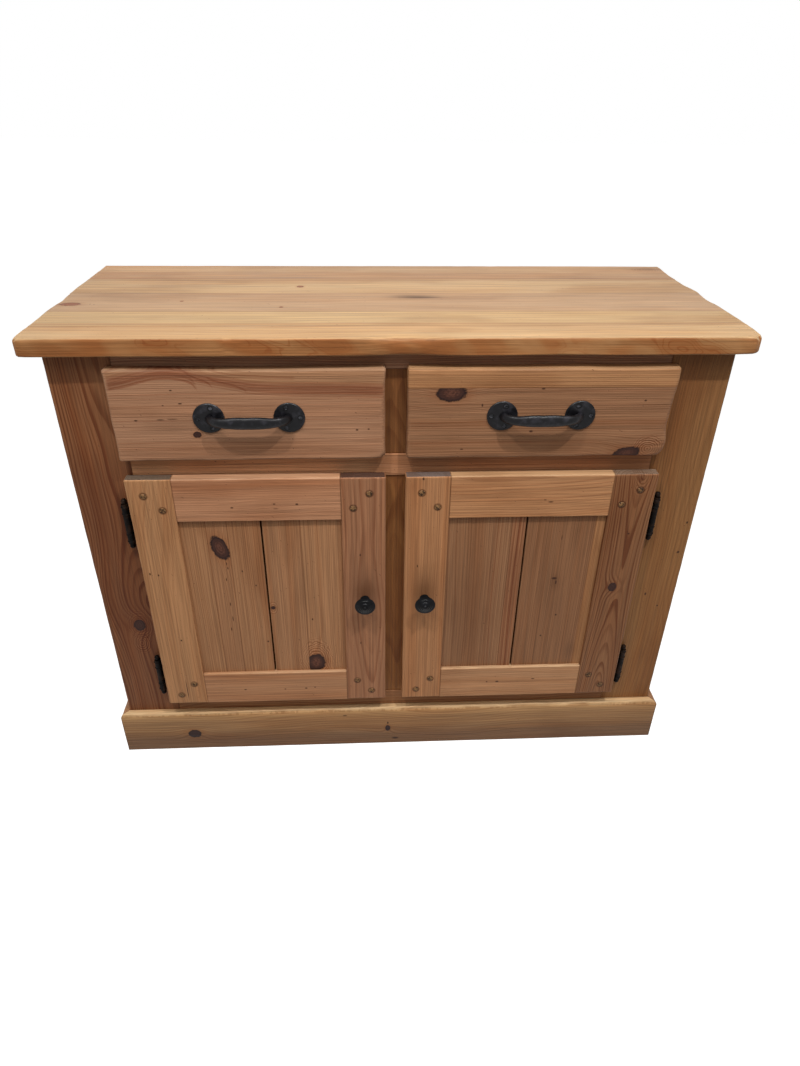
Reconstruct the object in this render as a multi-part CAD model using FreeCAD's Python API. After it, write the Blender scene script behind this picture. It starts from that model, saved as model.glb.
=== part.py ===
import FreeCAD, Part
import math
import os

V = FreeCAD.Vector

# The cabinet stands on the XY plane with its front towards -Y, +X to the viewer's right and +Z up.
# The origin is on the floor, under the middle of its bounding box. Every length is in millimetres.

# Overall sizes
overall_height = 850.0
slab_width = 1100.0
slab_depth = 470.0
slab_thickness = 27.0
side_overhang = 28.0
front_overhang = 26.0
back_overhang = 12.0

# Top slab, glued up from boards and waney along its front and ends
top_board_shares = (0.138, 0.166, 0.243, 0.215, 0.238)
slab_wave = 4.5
slab_left_corner = 11.0
slab_right_corner = 20.0
slab_back_corner = 6.0
slab_arris = 3.5
slab_front_shares = (0.0, 0.30, 0.15, 0.75, 0.20, 0.50, 0.10, 0.0)
slab_right_shares = (0.70, 0.20, 0.0, 0.20, 0.45)
slab_back_shares = (0.0, 0.0)
slab_left_shares = (0.35, 0.15, 0.0, 0.15, 0.90)

# Face frame
frame_thickness = 24.0
frame_arris = 2.5
stile_width = 98.0
muntin_width = 50.0
muntin_setback = 2.5
top_rail_height = 28.0
mid_rail_height = 39.0
bottom_rail_height = 62.0
drawer_opening_height = 142.5
rail_tenon_length = 34.0
muntin_tenon_length = 14.0
frame_tenon_thickness = 9.0
frame_tenon_shoulder = 5.0
glue_space = 2.0

# Sides and tongued back boards
side_thickness = 20.0
side_board_count = 4
back_thickness = 12.0
back_rebate = 10.0
back_board_count = 11
back_foot_gap = 25.0
back_bevel = 2.0
tongue_length = 5.0
tongue_thickness = 4.0
tongue_play = 0.8
back_rail_thickness = 20.0
back_rail_height = 45.0

# Floor, shelf and the battens that carry them
floor_thickness = 16.0
floor_board_count = 4
shelf_height_share = 0.5
shelf_thickness = 18.0
shelf_setback = 34.0
shelf_board_count = 3
shelf_play = 1.0
batten_size = 20.0
board_arris = 1.5

# Plinth, nailed round the foot and mitred at the front corners
plinth_height = 98.0
plinth_thickness = 15.0
plinth_round = 12.0
plinth_sill_gap = 34.0

# Doors
door_thickness = 20.0
door_half_gap = 16.0
door_stile_lap = 10.0
door_top_lap = 8.5
door_bottom_lift = 2.0
door_stile_width = 74.0
door_top_rail_height = 79.0
door_bottom_rail_height = 73.0
door_arris = 3.0
door_tenon_length = 60.0
door_tenon_thickness = 8.0
door_tenon_haunch = 12.0
panel_thickness = 8.0
panel_setback = 6.5
panel_groove = 8.0
panel_play = 1.0
panel_gap = 2.5
panel_split_share = 0.5
peg_radius = 5.5
peg_proud = 1.0
peg_bevel = 0.8
peg_fit = 0.05
peg_edge = 27.0
peg_step = 27.0
top_peg_drop = 30.0
bottom_peg_rise = 22.0

# Butt hinges with turned finials
leaf_thickness = 1.2
leaf_clearance = 0.2
leaf_height = 72.0
frame_leaf_width = 20.0
door_leaf_width = 27.0
barrel_radius = 6.0
barrel_clearance = 0.3
barrel_offset = 11.0
centre_knuckle_height = 33.0
knuckle_gap = 0.4
knuckle_clearance = 0.6
pin_radius = 2.2
pin_clearance = 0.05
bead_rise = 1.0
bead_width = 3.0
finial_height = 12.0
finial_radius = 4.8
finial_collar_radius = 5.8
finial_collar_height = 2.0
finial_neck_radius = 3.2
upper_hinge_drop = 90.0
lower_hinge_rise = 61.0
hinge_screw_pitch = 26.0

# Wood screws
screw_head_radius = 3.0
screw_head_depth = 1.6
screw_shank_radius = 1.5
screw_length = 13.0
screw_fit = 0.05

# Turned iron knobs, stepped like a beehive
knob_height_share = 0.498
knob_reach = 31.0
knob_base_radius = 8.5
knob_base_thickness = 2.0
knob_neck_radius = 5.5
knob_neck_length = 11.0
knob_radius = 18.0
knob_rim_thickness = 3.0
knob_flare = 6.0
knob_ring_radii = (12.5, 8.2)
knob_ring_height = 2.6
knob_button_radius = 4.8
knob_bolt_radius = 2.0
knob_bolt_depth = 12.0
knob_bolt_head_radius = 4.5
knob_bolt_head_height = 2.0

# Magnetic catches
catch_width = 38.0
catch_height = 13.0
catch_depth = 20.0
catch_inset = 9.0
catch_gap = 0.3
strike_thickness = 1.5
strike_margin = 3.0

# Drawers, with dovetailed back corners
drawer_front_thickness = 22.0
drawer_front_lift = 0.8
drawer_front_lap = 8.0
drawer_wave = 2.2
drawer_wane = 4.0
drawer_corner = 5.0
worn_corner = 12.0
scoop_half_height = 38.0
scoop_height_share = 0.47
scoop_depths = {-1: 4.0, 1: 7.0}
drawer_arris = 4.5
drawer_play = 2.0
drawer_lift = 0.3
drawer_top_play = 8.2
drawer_back_room = 28.0
drawer_side_thickness = 12.0
drawer_back_drop = 6.0
drawer_housing = 8.0
drawer_bottom_thickness = 6.0
drawer_bottom_rise = 11.0
drawer_groove = 5.0
drawer_bottom_play = 0.5
tail_count = 3
tail_width_share = 0.66
tail_slope_share = 0.14
plain_drawer_shares = {
    "bottom": (0.0, 0.5, 0.2, 0.7, 0.3, 0.0),
    "right": (0.0, 0.3, 0.1, 0.4, 0.0),
    "top": (0.0, 0.2, 0.6, 0.9, 0.3, 0.0),
    "left": (0.0, 0.3, 0.1, 0.3, 0.0),
}
waney_drawer_shares = {
    "bottom": (0.0, 0.4, 0.1, 0.5, 0.8, 0.0),
    "right": (0.50, 0.05, 0.85, 0.25, 0.15, 0.0, 0.25),
    "top": (0.0, 0.5, 0.1, 0.4, 0.2, 0.0),
    "left": (0.0, 0.2, 0.4, 0.1, 0.0),
}

# Drawer runners, guides and kickers
runner_width = 40.0
runner_thickness = 20.0
guide_width = 24.0
guide_height = 20.0

# Forged pulls
pull_spacing = 122.0
pull_height_share = 0.49
pull_reach = 28.5
rose_radius = 24.0
rose_thickness = 4.0
rose_edge = 2.2
rose_screw_circle = 17.0
rose_screw_angles = (180.0, 75.0, -75.0)
rose_screw_sink = 1.0
rose_mouth_radius = 4.5
bar_middle = (19.0, 11.5)
bar_shoulder = (17.5, 11.0)
bar_neck = (15.0, 10.5)
bar_root = (12.0, 11.0)
bar_station_shares = (0.0, 0.10, 0.28, 0.55, 1.0)
bar_reach_shares = (0.12, 0.55, 0.86, 0.97, 1.0)

# One overrun serves every cut
overrun = 5.0

# Levels and planes that several pieces share
slab_underside = overall_height - slab_thickness
leaf_gap = leaf_thickness + leaf_thickness + leaf_clearance
knob_front_reach = knob_reach + door_thickness + leaf_gap - front_overhang
pull_front_reach = pull_reach + drawer_front_thickness - front_overhang
slab_front_y = (max(knob_front_reach, pull_front_reach) - slab_depth) / 2
face_y = slab_front_y + front_overhang
frame_back_y = face_y + frame_thickness
carcass_back_y = slab_front_y + slab_depth - back_overhang
back_front_y = carcass_back_y - back_thickness
back_rail_front_y = back_front_y - back_rail_thickness
carcass_half = slab_width / 2 - side_overhang
inside_half = carcass_half - side_thickness
opening_half = carcass_half - stile_width
muntin_half = muntin_width / 2
top_rail_bottom = slab_underside - top_rail_height
drawer_sill_height = top_rail_bottom - drawer_opening_height
mid_rail_bottom = drawer_sill_height - mid_rail_height
cupboard_sill_height = plinth_height + plinth_sill_gap
shelf_height = cupboard_sill_height + (mid_rail_bottom - cupboard_sill_height) * shelf_height_share
door_back_y = face_y - leaf_gap
door_front_y = door_back_y - door_thickness
door_outer = opening_half + door_stile_lap
door_bottom_height = cupboard_sill_height + door_bottom_lift
door_top_height = mid_rail_bottom + door_top_lap
knob_height = door_bottom_height + (door_top_height - door_bottom_height) * knob_height_share
hinge_x = door_outer + barrel_offset
hinge_y = face_y - barrel_radius - barrel_clearance
hinge_heights = (door_top_height - upper_hinge_drop, door_bottom_height + lower_hinge_rise)
drawer_front_y = face_y - drawer_front_thickness
drawer_inner = muntin_half + drawer_play
drawer_outer = opening_half - drawer_play
drawer_base = drawer_sill_height + drawer_lift
drawer_back_y = back_rail_front_y - drawer_back_room
drawer_front_low = drawer_sill_height + drawer_front_lift
drawer_front_high = top_rail_bottom + drawer_front_lap
pull_height = drawer_front_low + (drawer_front_high - drawer_front_low) * pull_height_share


def box(x, y, z):
    """A straight block, with its low and high place on each axis."""
    return Part.makeBox(x[1] - x[0], y[1] - y[0], z[1] - z[0], V(x[0], y[0], z[0]))


def edges_along(solid, axis, keep=None):
    """The straight edges that run along an axis, where keep says yes to their middle."""
    found = []
    for edge in solid.Edges:
        straight = edge.Curve.TypeId == "Part::GeomLine"
        if straight and abs(edge.Curve.Direction.dot(axis)) > 0.999:
            if keep is None or keep(edge.CenterOfMass):
                found.append(edge)
    return found


def board(x, y, z, along, arris, keep=None):
    """A board with its long arrises softened, or those of them that keep picks."""
    block = box(x, y, z)
    return block.makeFillet(arris, edges_along(block, along, keep))


def mirrored(solid):
    """The same piece on the other side of the cabinet."""
    return solid.mirror(V(0, 0, 0), V(1, 0, 0))


def both_sides(solid):
    """A piece made for the right, and its twin on the left."""
    return [solid, mirrored(solid)]


def spread(low, high, count, index):
    """The low and high place of one of several equal boards laid side by side."""
    width = (high - low) / count
    return (low + width * index, low + width * (index + 1))


def waved_outline(corners, inwards, waves, shares):
    """A closed outline through four corners, each side pushed inwards by its shares of its wave.
    A side with two shares is straight."""
    pushes = []
    for side in range(4):
        pushes.append([inwards[side] * (waves[side] * share) for share in shares[side]])
    edges = []
    for side in range(4):
        start = corners[side]
        end = corners[(side + 1) % 4]
        last = len(pushes[side]) - 1
        points = [start + (end - start) * (i / last) + push for i, push in enumerate(pushes[side])]
        points[0] = points[0] + pushes[side - 1][-1]
        points[-1] = points[-1] + pushes[(side + 1) % 4][0]
        if last == 1:
            edges.append(Part.makeLine(points[0], points[1]))
        else:
            curve = Part.BSplineCurve()
            curve.interpolate(points)
            edges.append(curve.toShape())
    return Part.Face(Part.Wire(edges))


def save(name, pieces):
    """Writes one node: a single piece, or a group of separate pieces."""
    solids = [solid for piece in pieces for solid in piece.Solids]
    faulty = [solid for solid in solids if not solid.isValid()]
    if faulty:
        print("a solid isn't valid in", name)
    shape = solids[0] if len(solids) == 1 else Part.makeCompound(solids)
    shape.exportStep(os.path.join("parts", name + ".step"))


# Screws

def screw_shape(head, direction, fit):
    """A countersunk wood screw, its head's flat at the given point, grown by a fit for its hole."""
    head_top = screw_head_radius + fit
    shank = screw_shank_radius + fit
    cone = Part.makeCone(head_top, shank, screw_head_depth, head, direction)
    core = Part.makeCylinder(shank, screw_length + fit, head, direction)
    return cone.fuse(core).removeSplitter()


# Top slab

def slab_boards():
    """The slab as separate boards, from the front one to the back one."""
    left = -slab_width / 2
    right = slab_width / 2
    back = slab_front_y + slab_depth
    corners = [
        V(left, slab_front_y, slab_underside),
        V(right, slab_front_y, slab_underside),
        V(right, back, slab_underside),
        V(left, back, slab_underside),
    ]
    inwards = [V(0, 1, 0), V(-1, 0, 0), V(0, -1, 0), V(1, 0, 0)]
    shares = [slab_front_shares, slab_right_shares, slab_back_shares, slab_left_shares]
    outline = waved_outline(corners, inwards, [slab_wave] * 4, shares)
    slab = outline.extrude(V(0, 0, slab_thickness))
    upright = V(0, 0, 1)
    slab = slab.makeFillet(slab_right_corner, edges_along(slab, upright, lambda m: m.y < 0 and m.x > 0))
    slab = slab.makeFillet(slab_left_corner, edges_along(slab, upright, lambda m: m.y < 0 and m.x < 0))
    slab = slab.makeFillet(slab_back_corner, edges_along(slab, upright, lambda m: m.y > 0))
    top = max(slab.Faces, key=lambda face: face.CenterOfMass.z)
    bottom = min(slab.Faces, key=lambda face: face.CenterOfMass.z)
    slab = slab.makeFillet(slab_arris, top.Edges + bottom.Edges)
    boards = []
    low = slab_front_y
    for share in top_board_shares:
        high = low + slab_depth * share
        first = low - overrun if share == top_board_shares[0] else low
        last = high + overrun if share == top_board_shares[-1] else high
        cutter = box((left - overrun, right + overrun), (first, last), (slab_underside, overall_height))
        boards.append(slab.common(cutter))
        low = high
    return boards


# Face frame

def rail_tenon(start, direction, z, setback=0.0):
    """A tenon on the end of a rail, standing out from its shoulder at start in X."""
    mid_y = (face_y + setback + frame_back_y) / 2
    x = tuple(sorted((start, start + direction * rail_tenon_length)))
    y = (mid_y - frame_tenon_thickness / 2, mid_y + frame_tenon_thickness / 2)
    return box(x, y, (z[0] + frame_tenon_shoulder, z[1] - frame_tenon_shoulder))


def rail_mortise(start, direction, z):
    """The mortise for a rail's tenon, with room for glue at its end."""
    mid_y = (face_y + frame_back_y) / 2
    x = tuple(sorted((start, start + direction * (rail_tenon_length + glue_space))))
    y = (mid_y - frame_tenon_thickness / 2, mid_y + frame_tenon_thickness / 2)
    return box(x, y, (z[0] + frame_tenon_shoulder, z[1] - frame_tenon_shoulder))


def muntin_block(shoulder, length):
    """A muntin's tenon, or with a longer length its mortise, from a shoulder up or down in Z."""
    mid_y = (face_y + muntin_setback + frame_back_y) / 2
    half = muntin_half - frame_tenon_shoulder
    y = (mid_y - frame_tenon_thickness / 2, mid_y + frame_tenon_thickness / 2)
    return box((-half, half), y, tuple(sorted((shoulder, shoulder + length))))


rail_levels = {
    "top_rail": (top_rail_bottom, slab_underside),
    "mid_rail": (mid_rail_bottom, drawer_sill_height),
    "bottom_rail": (cupboard_sill_height - bottom_rail_height, cupboard_sill_height),
}
muntin_levels = {
    "upper_muntin": (drawer_sill_height, top_rail_bottom),
    "lower_muntin": (cupboard_sill_height, mid_rail_bottom),
}


def muntin_mortises():
    """What the muntins' tenons take out of the rails."""
    depth = muntin_tenon_length + glue_space
    tools = []
    for low, high in muntin_levels.values():
        tools.append(muntin_block(low, -depth))
        tools.append(muntin_block(high, depth))
    return tools


def outer_front(middle):
    """Picks the right stile's arris at the cabinet's corner."""
    return middle.x > opening_half + frame_arris and middle.y < frame_back_y - frame_arris


def right_stile():
    """The right-hand stile, mortised for the rails."""
    x = (opening_half, carcass_half)
    z = (0, slab_underside)
    stile = board(x, (face_y, frame_back_y), z, V(0, 0, 1), frame_arris, outer_front)
    mortises = [rail_mortise(opening_half, 1, z) for z in rail_levels.values()]
    return stile.cut(mortises)


def rail(z):
    """A rail across the opening, with a tenon at each end and mortises for the muntins."""
    y = (face_y, frame_back_y)
    body = box((-opening_half, opening_half), y, z)
    tenons = [rail_tenon(opening_half, 1, z), rail_tenon(-opening_half, -1, z)]
    return body.fuse(tenons).cut(muntin_mortises()).removeSplitter()


def muntin(z):
    """An upright between two rails, set back a little from their faces."""
    body = box((-muntin_half, muntin_half), (face_y + muntin_setback, frame_back_y), z)
    tenons = [muntin_block(z[0], -muntin_tenon_length), muntin_block(z[1], muntin_tenon_length)]
    return body.fuse(tenons).removeSplitter()


# Sides and back

def right_side_boards():
    """The right side: upright boards edge to edge, the last one rebated for the back."""
    boards = []
    for index in range(side_board_count):
        y = spread(frame_back_y, carcass_back_y, side_board_count, index)
        boards.append(box((inside_half, carcass_half), y, (0, slab_underside)))
    rebate_x = (inside_half - overrun, inside_half + back_rebate)
    rebate_y = (back_front_y, carcass_back_y + overrun)
    rebate = box(rebate_x, rebate_y, (-overrun, slab_underside + overrun))
    boards[-1] = boards[-1].cut(rebate)
    return boards


def back_board(index):
    """One upright back board, with a tongue on its right edge and a groove in its left one."""
    half = inside_half + back_rebate
    x = spread(-half, half, back_board_count, index)
    z = (back_foot_gap, slab_underside)
    mid_y = (back_front_y + carcass_back_y) / 2
    bevels = box(x, (back_front_y, carcass_back_y), z)
    body = bevels.makeChamfer(back_bevel, edges_along(bevels, V(0, 0, 1), lambda m: m.y > mid_y))
    if index < back_board_count - 1:
        tongue_y = (mid_y - tongue_thickness / 2, mid_y + tongue_thickness / 2)
        body = body.fuse(box((x[1], x[1] + tongue_length), tongue_y, z)).removeSplitter()
    if index > 0:
        groove_half = (tongue_thickness + tongue_play) / 2
        groove_x = (x[0] - overrun, x[0] + tongue_length + tongue_play)
        groove_z = (z[0] - overrun, z[1] + overrun)
        body = body.cut(box(groove_x, (mid_y - groove_half, mid_y + groove_half), groove_z))
    return body


def back_rails():
    """The rails inside the back, at the top, behind the runners and under the floor."""
    floor_under = cupboard_sill_height - floor_thickness
    rails = []
    for top in (slab_underside, drawer_sill_height, floor_under):
        z = (top - back_rail_height, top)
        rails.append(box((-inside_half, inside_half), (back_rail_front_y, back_front_y), z))
    return rails


# Floor, shelf and battens

def floor_boards():
    """The cupboard floor, level with the sill of the face frame."""
    boards = []
    for index in range(floor_board_count):
        y = spread(frame_back_y, back_front_y, floor_board_count, index)
        z = (cupboard_sill_height - floor_thickness, cupboard_sill_height)
        boards.append(box((-inside_half, inside_half), y, z))
    return boards


def shelf_boards():
    """The shelf, edge to edge boards that lie loose on their battens."""
    half = inside_half - shelf_play
    front = frame_back_y + shelf_setback
    z = (shelf_height, shelf_height + shelf_thickness)
    boards = []
    for index in range(shelf_board_count):
        y = spread(front, back_front_y - shelf_play, shelf_board_count, index)
        plank = box((-half, half), y, z)
        if index == 0:
            nosing = edges_along(plank, V(1, 0, 0), lambda m: m.y < front + board_arris)
            plank = plank.makeFillet(board_arris, nosing)
        boards.append(plank)
    return boards


def battens():
    """Battens under the floor and the shelf, along the sides, the front and the back."""
    floor_under = cupboard_sill_height - floor_thickness
    floor_z = (floor_under - batten_size, floor_under)
    shelf_z = (shelf_height - batten_size, shelf_height)
    side_x = (inside_half - batten_size, inside_half)
    shelf_y = (frame_back_y + shelf_setback, back_front_y)
    pieces = both_sides(box(side_x, (frame_back_y + batten_size, back_rail_front_y), floor_z))
    pieces += both_sides(box(side_x, shelf_y, shelf_z))
    pieces.append(box((-inside_half, inside_half), (frame_back_y, frame_back_y + batten_size), floor_z))
    back_x = (batten_size - inside_half, inside_half - batten_size)
    pieces.append(box(back_x, (back_front_y - batten_size, back_front_y), shelf_z))
    return pieces


# What the drawers run on

def runner_spans():
    """The widths that the side and centre runners and kickers cover in X."""
    side = (drawer_outer + drawer_play + guide_width - runner_width, drawer_outer + drawer_play + guide_width)
    centre_half = drawer_inner - drawer_play + runner_width - guide_width
    return side, (-centre_half, centre_half)


def drawer_runners():
    """Runners under the drawers' sides, from the face frame to the back rail."""
    y = (frame_back_y, back_rail_front_y)
    z = (drawer_sill_height - runner_thickness, drawer_sill_height)
    side, centre = runner_spans()
    return both_sides(box(side, y, z)) + [box(centre, y, z)]


def drawer_guides():
    """Strips on the runners that keep the drawers straight."""
    y = (frame_back_y, back_rail_front_y)
    z = (drawer_sill_height, drawer_sill_height + guide_height)
    side = (drawer_outer + drawer_play, drawer_outer + drawer_play + guide_width)
    centre_half = drawer_inner - drawer_play
    return both_sides(box(side, y, z)) + [box((-centre_half, centre_half), y, z)]


def kickers():
    """Strips over the drawers that stop them from tipping, and that hold the slab."""
    y = (frame_back_y, back_rail_front_y)
    z = (top_rail_bottom, slab_underside)
    side, centre = runner_spans()
    return both_sides(box(side, y, z)) + [box(centre, y, z)]


# Plinth

def plan_prism(points):
    """An upright prism as high as the plinth, over an outline in plan."""
    outline = Part.makePolygon([V(x, y, 0) for x, y in points + points[:1]])
    return Part.Face(outline).extrude(V(0, 0, plinth_height))


def plinth_front():
    """The front board of the plinth, rounded along its top and mitred at its ends."""
    front = face_y - plinth_thickness
    outer = carcass_half + plinth_thickness
    block = box((-outer, outer), (front, face_y), (0, plinth_height))
    rounded = block.makeFillet(
        plinth_round,
        edges_along(block, V(1, 0, 0), lambda m: m.z > plinth_round and m.y < face_y - plinth_round),
    )
    plan = [(-outer, front), (outer, front), (carcass_half, face_y), (-carcass_half, face_y)]
    return rounded.common(plan_prism(plan))


def plinth_return():
    """The right-hand board of the plinth, along the side."""
    front = face_y - plinth_thickness
    outer = carcass_half + plinth_thickness
    block = box((carcass_half, outer), (front, carcass_back_y), (0, plinth_height))
    rounded = block.makeFillet(
        plinth_round,
        edges_along(block, V(0, 1, 0), lambda m: m.z > plinth_round and m.x > carcass_half + plinth_round),
    )
    plan = [(carcass_half, face_y), (outer, front), (outer, carcass_back_y), (carcass_half, carcass_back_y)]
    return rounded.common(plan_prism(plan))


# Doors, made for the right-hand side

door_inner_x = door_half_gap + door_stile_width
door_outer_x = door_outer - door_stile_width
door_levels = {
    "top": (door_top_height - door_top_rail_height, door_top_height),
    "bottom": (door_bottom_height, door_bottom_height + door_bottom_rail_height),
}
tenon_y = (
    (door_front_y + door_back_y - door_tenon_thickness) / 2,
    (door_front_y + door_back_y + door_tenon_thickness) / 2,
)
groove_y = (door_front_y + panel_setback, door_front_y + panel_setback + panel_thickness)


def door_tenon_z(level):
    """The height of a door tenon: a haunch is left at the outer edge, and the groove at the inner."""
    low, high = door_levels[level]
    if level == "top":
        return (low + panel_groove, high - door_tenon_haunch)
    return (low + door_tenon_haunch, high - panel_groove)


def door_tenons(extra):
    """Both ends' tenons for both rails, longer by extra for their mortises."""
    tools = {}
    for level in door_levels:
        z = door_tenon_z(level)
        length = door_tenon_length + extra
        inner = box((door_inner_x - length, door_inner_x), tenon_y, z)
        outer = box((door_outer_x, door_outer_x + length), tenon_y, z)
        tools[level] = [inner, outer]
    return tools


def peg_places():
    """Where the two pegs of each corner joint stand, in X and Z."""
    places = []
    for edge, inwards in ((door_half_gap, 1), (door_outer, -1)):
        for step in (0, peg_step):
            x = edge + inwards * (peg_edge + step)
            places.append((x, door_top_height - top_peg_drop - step))
            places.append((x, door_bottom_height + bottom_peg_rise + step))
    return places


def peg_tools():
    """The holes for the pegs, right through the joints."""
    length = door_thickness + overrun + overrun
    start = door_front_y - overrun
    radius = peg_radius + peg_fit
    return [Part.makeCylinder(radius, length, V(x, start, z), V(0, 1, 0)) for x, z in peg_places()]


def door_pegs():
    """The pegs, standing a little proud of the door's face with a worn edge."""
    pegs = []
    for x, z in peg_places():
        start = V(x, door_front_y - peg_proud, z)
        peg = Part.makeCylinder(peg_radius, door_thickness + peg_proud, start, V(0, 1, 0))
        rim = [edge for edge in peg.Edges if edge.CenterOfMass.y < door_front_y and edge.isClosed()]
        pegs.append(peg.makeChamfer(peg_bevel, rim))
    return pegs


def leaf_screw_places(x):
    """Where a hinge leaf's screws go, in X and Z."""
    places = []
    for height in hinge_heights:
        for step in (-hinge_screw_pitch, 0, hinge_screw_pitch):
            places.append((x, height + step))
    return places


frame_screw_x = hinge_x - (frame_leaf_width + barrel_radius) / 2
door_screw_x = hinge_x - (door_leaf_width + barrel_radius) / 2
frame_leaf_front_y = face_y - leaf_thickness
door_leaf_back_y = door_back_y + leaf_thickness


def frame_leaf_screws(fit):
    """The screws of the frame's leaves, driven back into the stile."""
    places = leaf_screw_places(frame_screw_x)
    return [screw_shape(V(x, frame_leaf_front_y, z), V(0, 1, 0), fit) for x, z in places]


def door_leaf_screws(fit):
    """The screws of the door's leaves, driven forwards into the door."""
    places = leaf_screw_places(door_screw_x)
    return [screw_shape(V(x, door_leaf_back_y, z), V(0, -1, 0), fit) for x, z in places]


strike_z = (mid_rail_bottom - catch_height, mid_rail_bottom)
catch_x = (muntin_half + catch_inset, muntin_half + catch_inset + catch_width)
strike_x = (catch_x[0] + strike_margin, catch_x[1] - strike_margin)
knob_x = door_half_gap + door_stile_width / 2


def strike_screw(fit):
    """The screw that holds the strike plate."""
    middle = (strike_x[0] + strike_x[1]) / 2
    height = (strike_z[0] + strike_z[1]) / 2
    return screw_shape(V(middle, door_back_y + strike_thickness, height), V(0, -1, 0), fit)


def knob_bolt(fit):
    """The bolt that holds the knob, through the door from its back."""
    length = door_thickness + knob_bolt_depth
    seat = V(knob_x, door_back_y, knob_height)
    shank = Part.makeCylinder(knob_bolt_radius + fit, length + fit, seat, V(0, -1, 0))
    head = Part.makeCylinder(knob_bolt_head_radius, knob_bolt_head_height, seat, V(0, 1, 0))
    return shank.fuse(head).removeSplitter()


def door_stile(x, groove_x):
    """A door stile, mortised for the rails, grooved for the panel and bored for its pegs."""
    z = (door_bottom_height, door_top_height)
    stile = board(x, (door_front_y, door_back_y), z, V(0, 0, 1), door_arris)
    groove_z = (door_levels["bottom"][1] - panel_groove, door_levels["top"][0] + panel_groove)
    tools = [box(groove_x, groove_y, groove_z)] + peg_tools()
    for pair in door_tenons(glue_space).values():
        tools += pair
    return stile.cut(tools)


def door_meeting_stile():
    """The stile at the middle of the cabinet, which holds the knob and the strike plate."""
    groove_x = (door_inner_x - panel_groove, door_inner_x + overrun)
    stile = door_stile((door_half_gap, door_inner_x), groove_x)
    return stile.cut([knob_bolt(screw_fit), strike_screw(screw_fit)])


def door_hinge_stile():
    """The stile at the outer edge, which carries the hinge leaves."""
    groove_x = (door_outer_x - overrun, door_outer_x + panel_groove)
    stile = door_stile((door_outer_x, door_outer), groove_x)
    return stile.cut(door_leaf_screws(screw_fit))


def door_rail(level):
    """A door rail with its two tenons, grooved for the panel and bored for its pegs."""
    low, high = door_levels[level]
    rail_x = (door_inner_x, door_outer_x)
    body = board(rail_x, (door_front_y, door_back_y), (low, high), V(1, 0, 0), door_arris)
    inner_edge = low if level == "top" else high
    groove_z = (inner_edge - panel_groove, inner_edge + panel_groove)
    groove_x = (rail_x[0] - overrun, rail_x[1] + overrun)
    body = body.cut(box(groove_x, groove_y, groove_z))
    return body.fuse(door_tenons(0)[level]).cut(peg_tools() + [strike_screw(screw_fit)]).removeSplitter()


def door_panel():
    """The two panel boards, loose in their grooves with a gap between them."""
    edge = panel_groove - panel_play
    x = (door_inner_x - edge, door_outer_x + edge)
    z = (door_levels["bottom"][1] - edge, door_levels["top"][0] + edge)
    split = x[0] + (x[1] - x[0]) * panel_split_share
    upright = V(0, 0, 1)
    inner_x = (x[0], split - panel_gap / 2)
    outer_x = (split + panel_gap / 2, x[1])
    inner = board(inner_x, groove_y, z, upright, board_arris, lambda m: m.x > door_inner_x)
    outer = board(outer_x, groove_y, z, upright, board_arris, lambda m: m.x < door_outer_x)
    return [inner, outer]


def door_strike():
    """The strike plate for the catch, let on to the back of the door."""
    plate = box(strike_x, (door_back_y, door_back_y + strike_thickness), strike_z)
    return plate.cut(strike_screw(screw_fit))


# Hinges, made for the right-hand side

def knuckle(low, high, beads):
    """A turned barrel section round the hinge axis, with a raised bead near each given height."""
    body = Part.makeCylinder(barrel_radius, high - low, V(hinge_x, hinge_y, low))
    for height in beads:
        base = V(hinge_x, hinge_y, height - bead_width / 2)
        half = bead_width / 2
        lower = Part.makeCone(barrel_radius, barrel_radius + bead_rise, half, base)
        upper = Part.makeCone(barrel_radius + bead_rise, barrel_radius, half, base + V(0, 0, half))
        body = body.fuse([lower, upper])
    return body


def hinge_bands(height):
    """The low and high end of the lower, middle and upper knuckle of a hinge."""
    half = leaf_height / 2
    middle = centre_knuckle_height / 2
    return [
        (height - half, height - middle - knuckle_gap),
        (height - middle, height + middle),
        (height + middle + knuckle_gap, height + half),
    ]


def leaf_plate(width, y, height):
    """A hinge leaf as a flat plate that starts at the axis and runs inwards."""
    half = leaf_height / 2
    return box((hinge_x - width, hinge_x), y, (height - half, height + half))


def swing_room(band):
    """What has to be free round a knuckle that turns past the other leaf."""
    low = band[0] - knuckle_gap
    high = band[1] + knuckle_gap
    radius = barrel_radius + bead_rise + knuckle_clearance
    return Part.makeCylinder(radius, high - low, V(hinge_x, hinge_y, low))


def pin_bore(height):
    """The bore for the pin, through all three knuckles."""
    length = leaf_height + overrun + overrun
    base = V(hinge_x, hinge_y, height - length / 2)
    return Part.makeCylinder(pin_radius + pin_clearance, length, base)


def frame_leaf(height):
    """The leaf on the stile, with the end knuckles."""
    lower, middle, upper = hinge_bands(height)
    plate = leaf_plate(frame_leaf_width, (frame_leaf_front_y, face_y), height).cut(swing_room(middle))
    ends = [knuckle(low, high, [low + bead_width, high - bead_width]) for low, high in (lower, upper)]
    leaf = plate.fuse(ends).cut(pin_bore(height))
    reach = (hinge_x - frame_leaf_width, hinge_x + frame_leaf_width)
    behind = box(reach, (face_y, face_y + frame_thickness), (0, overall_height))
    return leaf.cut([behind] + frame_leaf_screws(screw_fit)).removeSplitter()


def door_leaf(height):
    """The leaf on the door, with the middle knuckle."""
    lower, middle, upper = hinge_bands(height)
    plate = leaf_plate(door_leaf_width, (door_back_y, door_leaf_back_y), height)
    plate = plate.cut([swing_room(lower), swing_room(upper)])
    leaf = plate.fuse(knuckle(*middle, [])).cut(pin_bore(height))
    return leaf.cut(door_leaf_screws(screw_fit)).removeSplitter()


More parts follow.
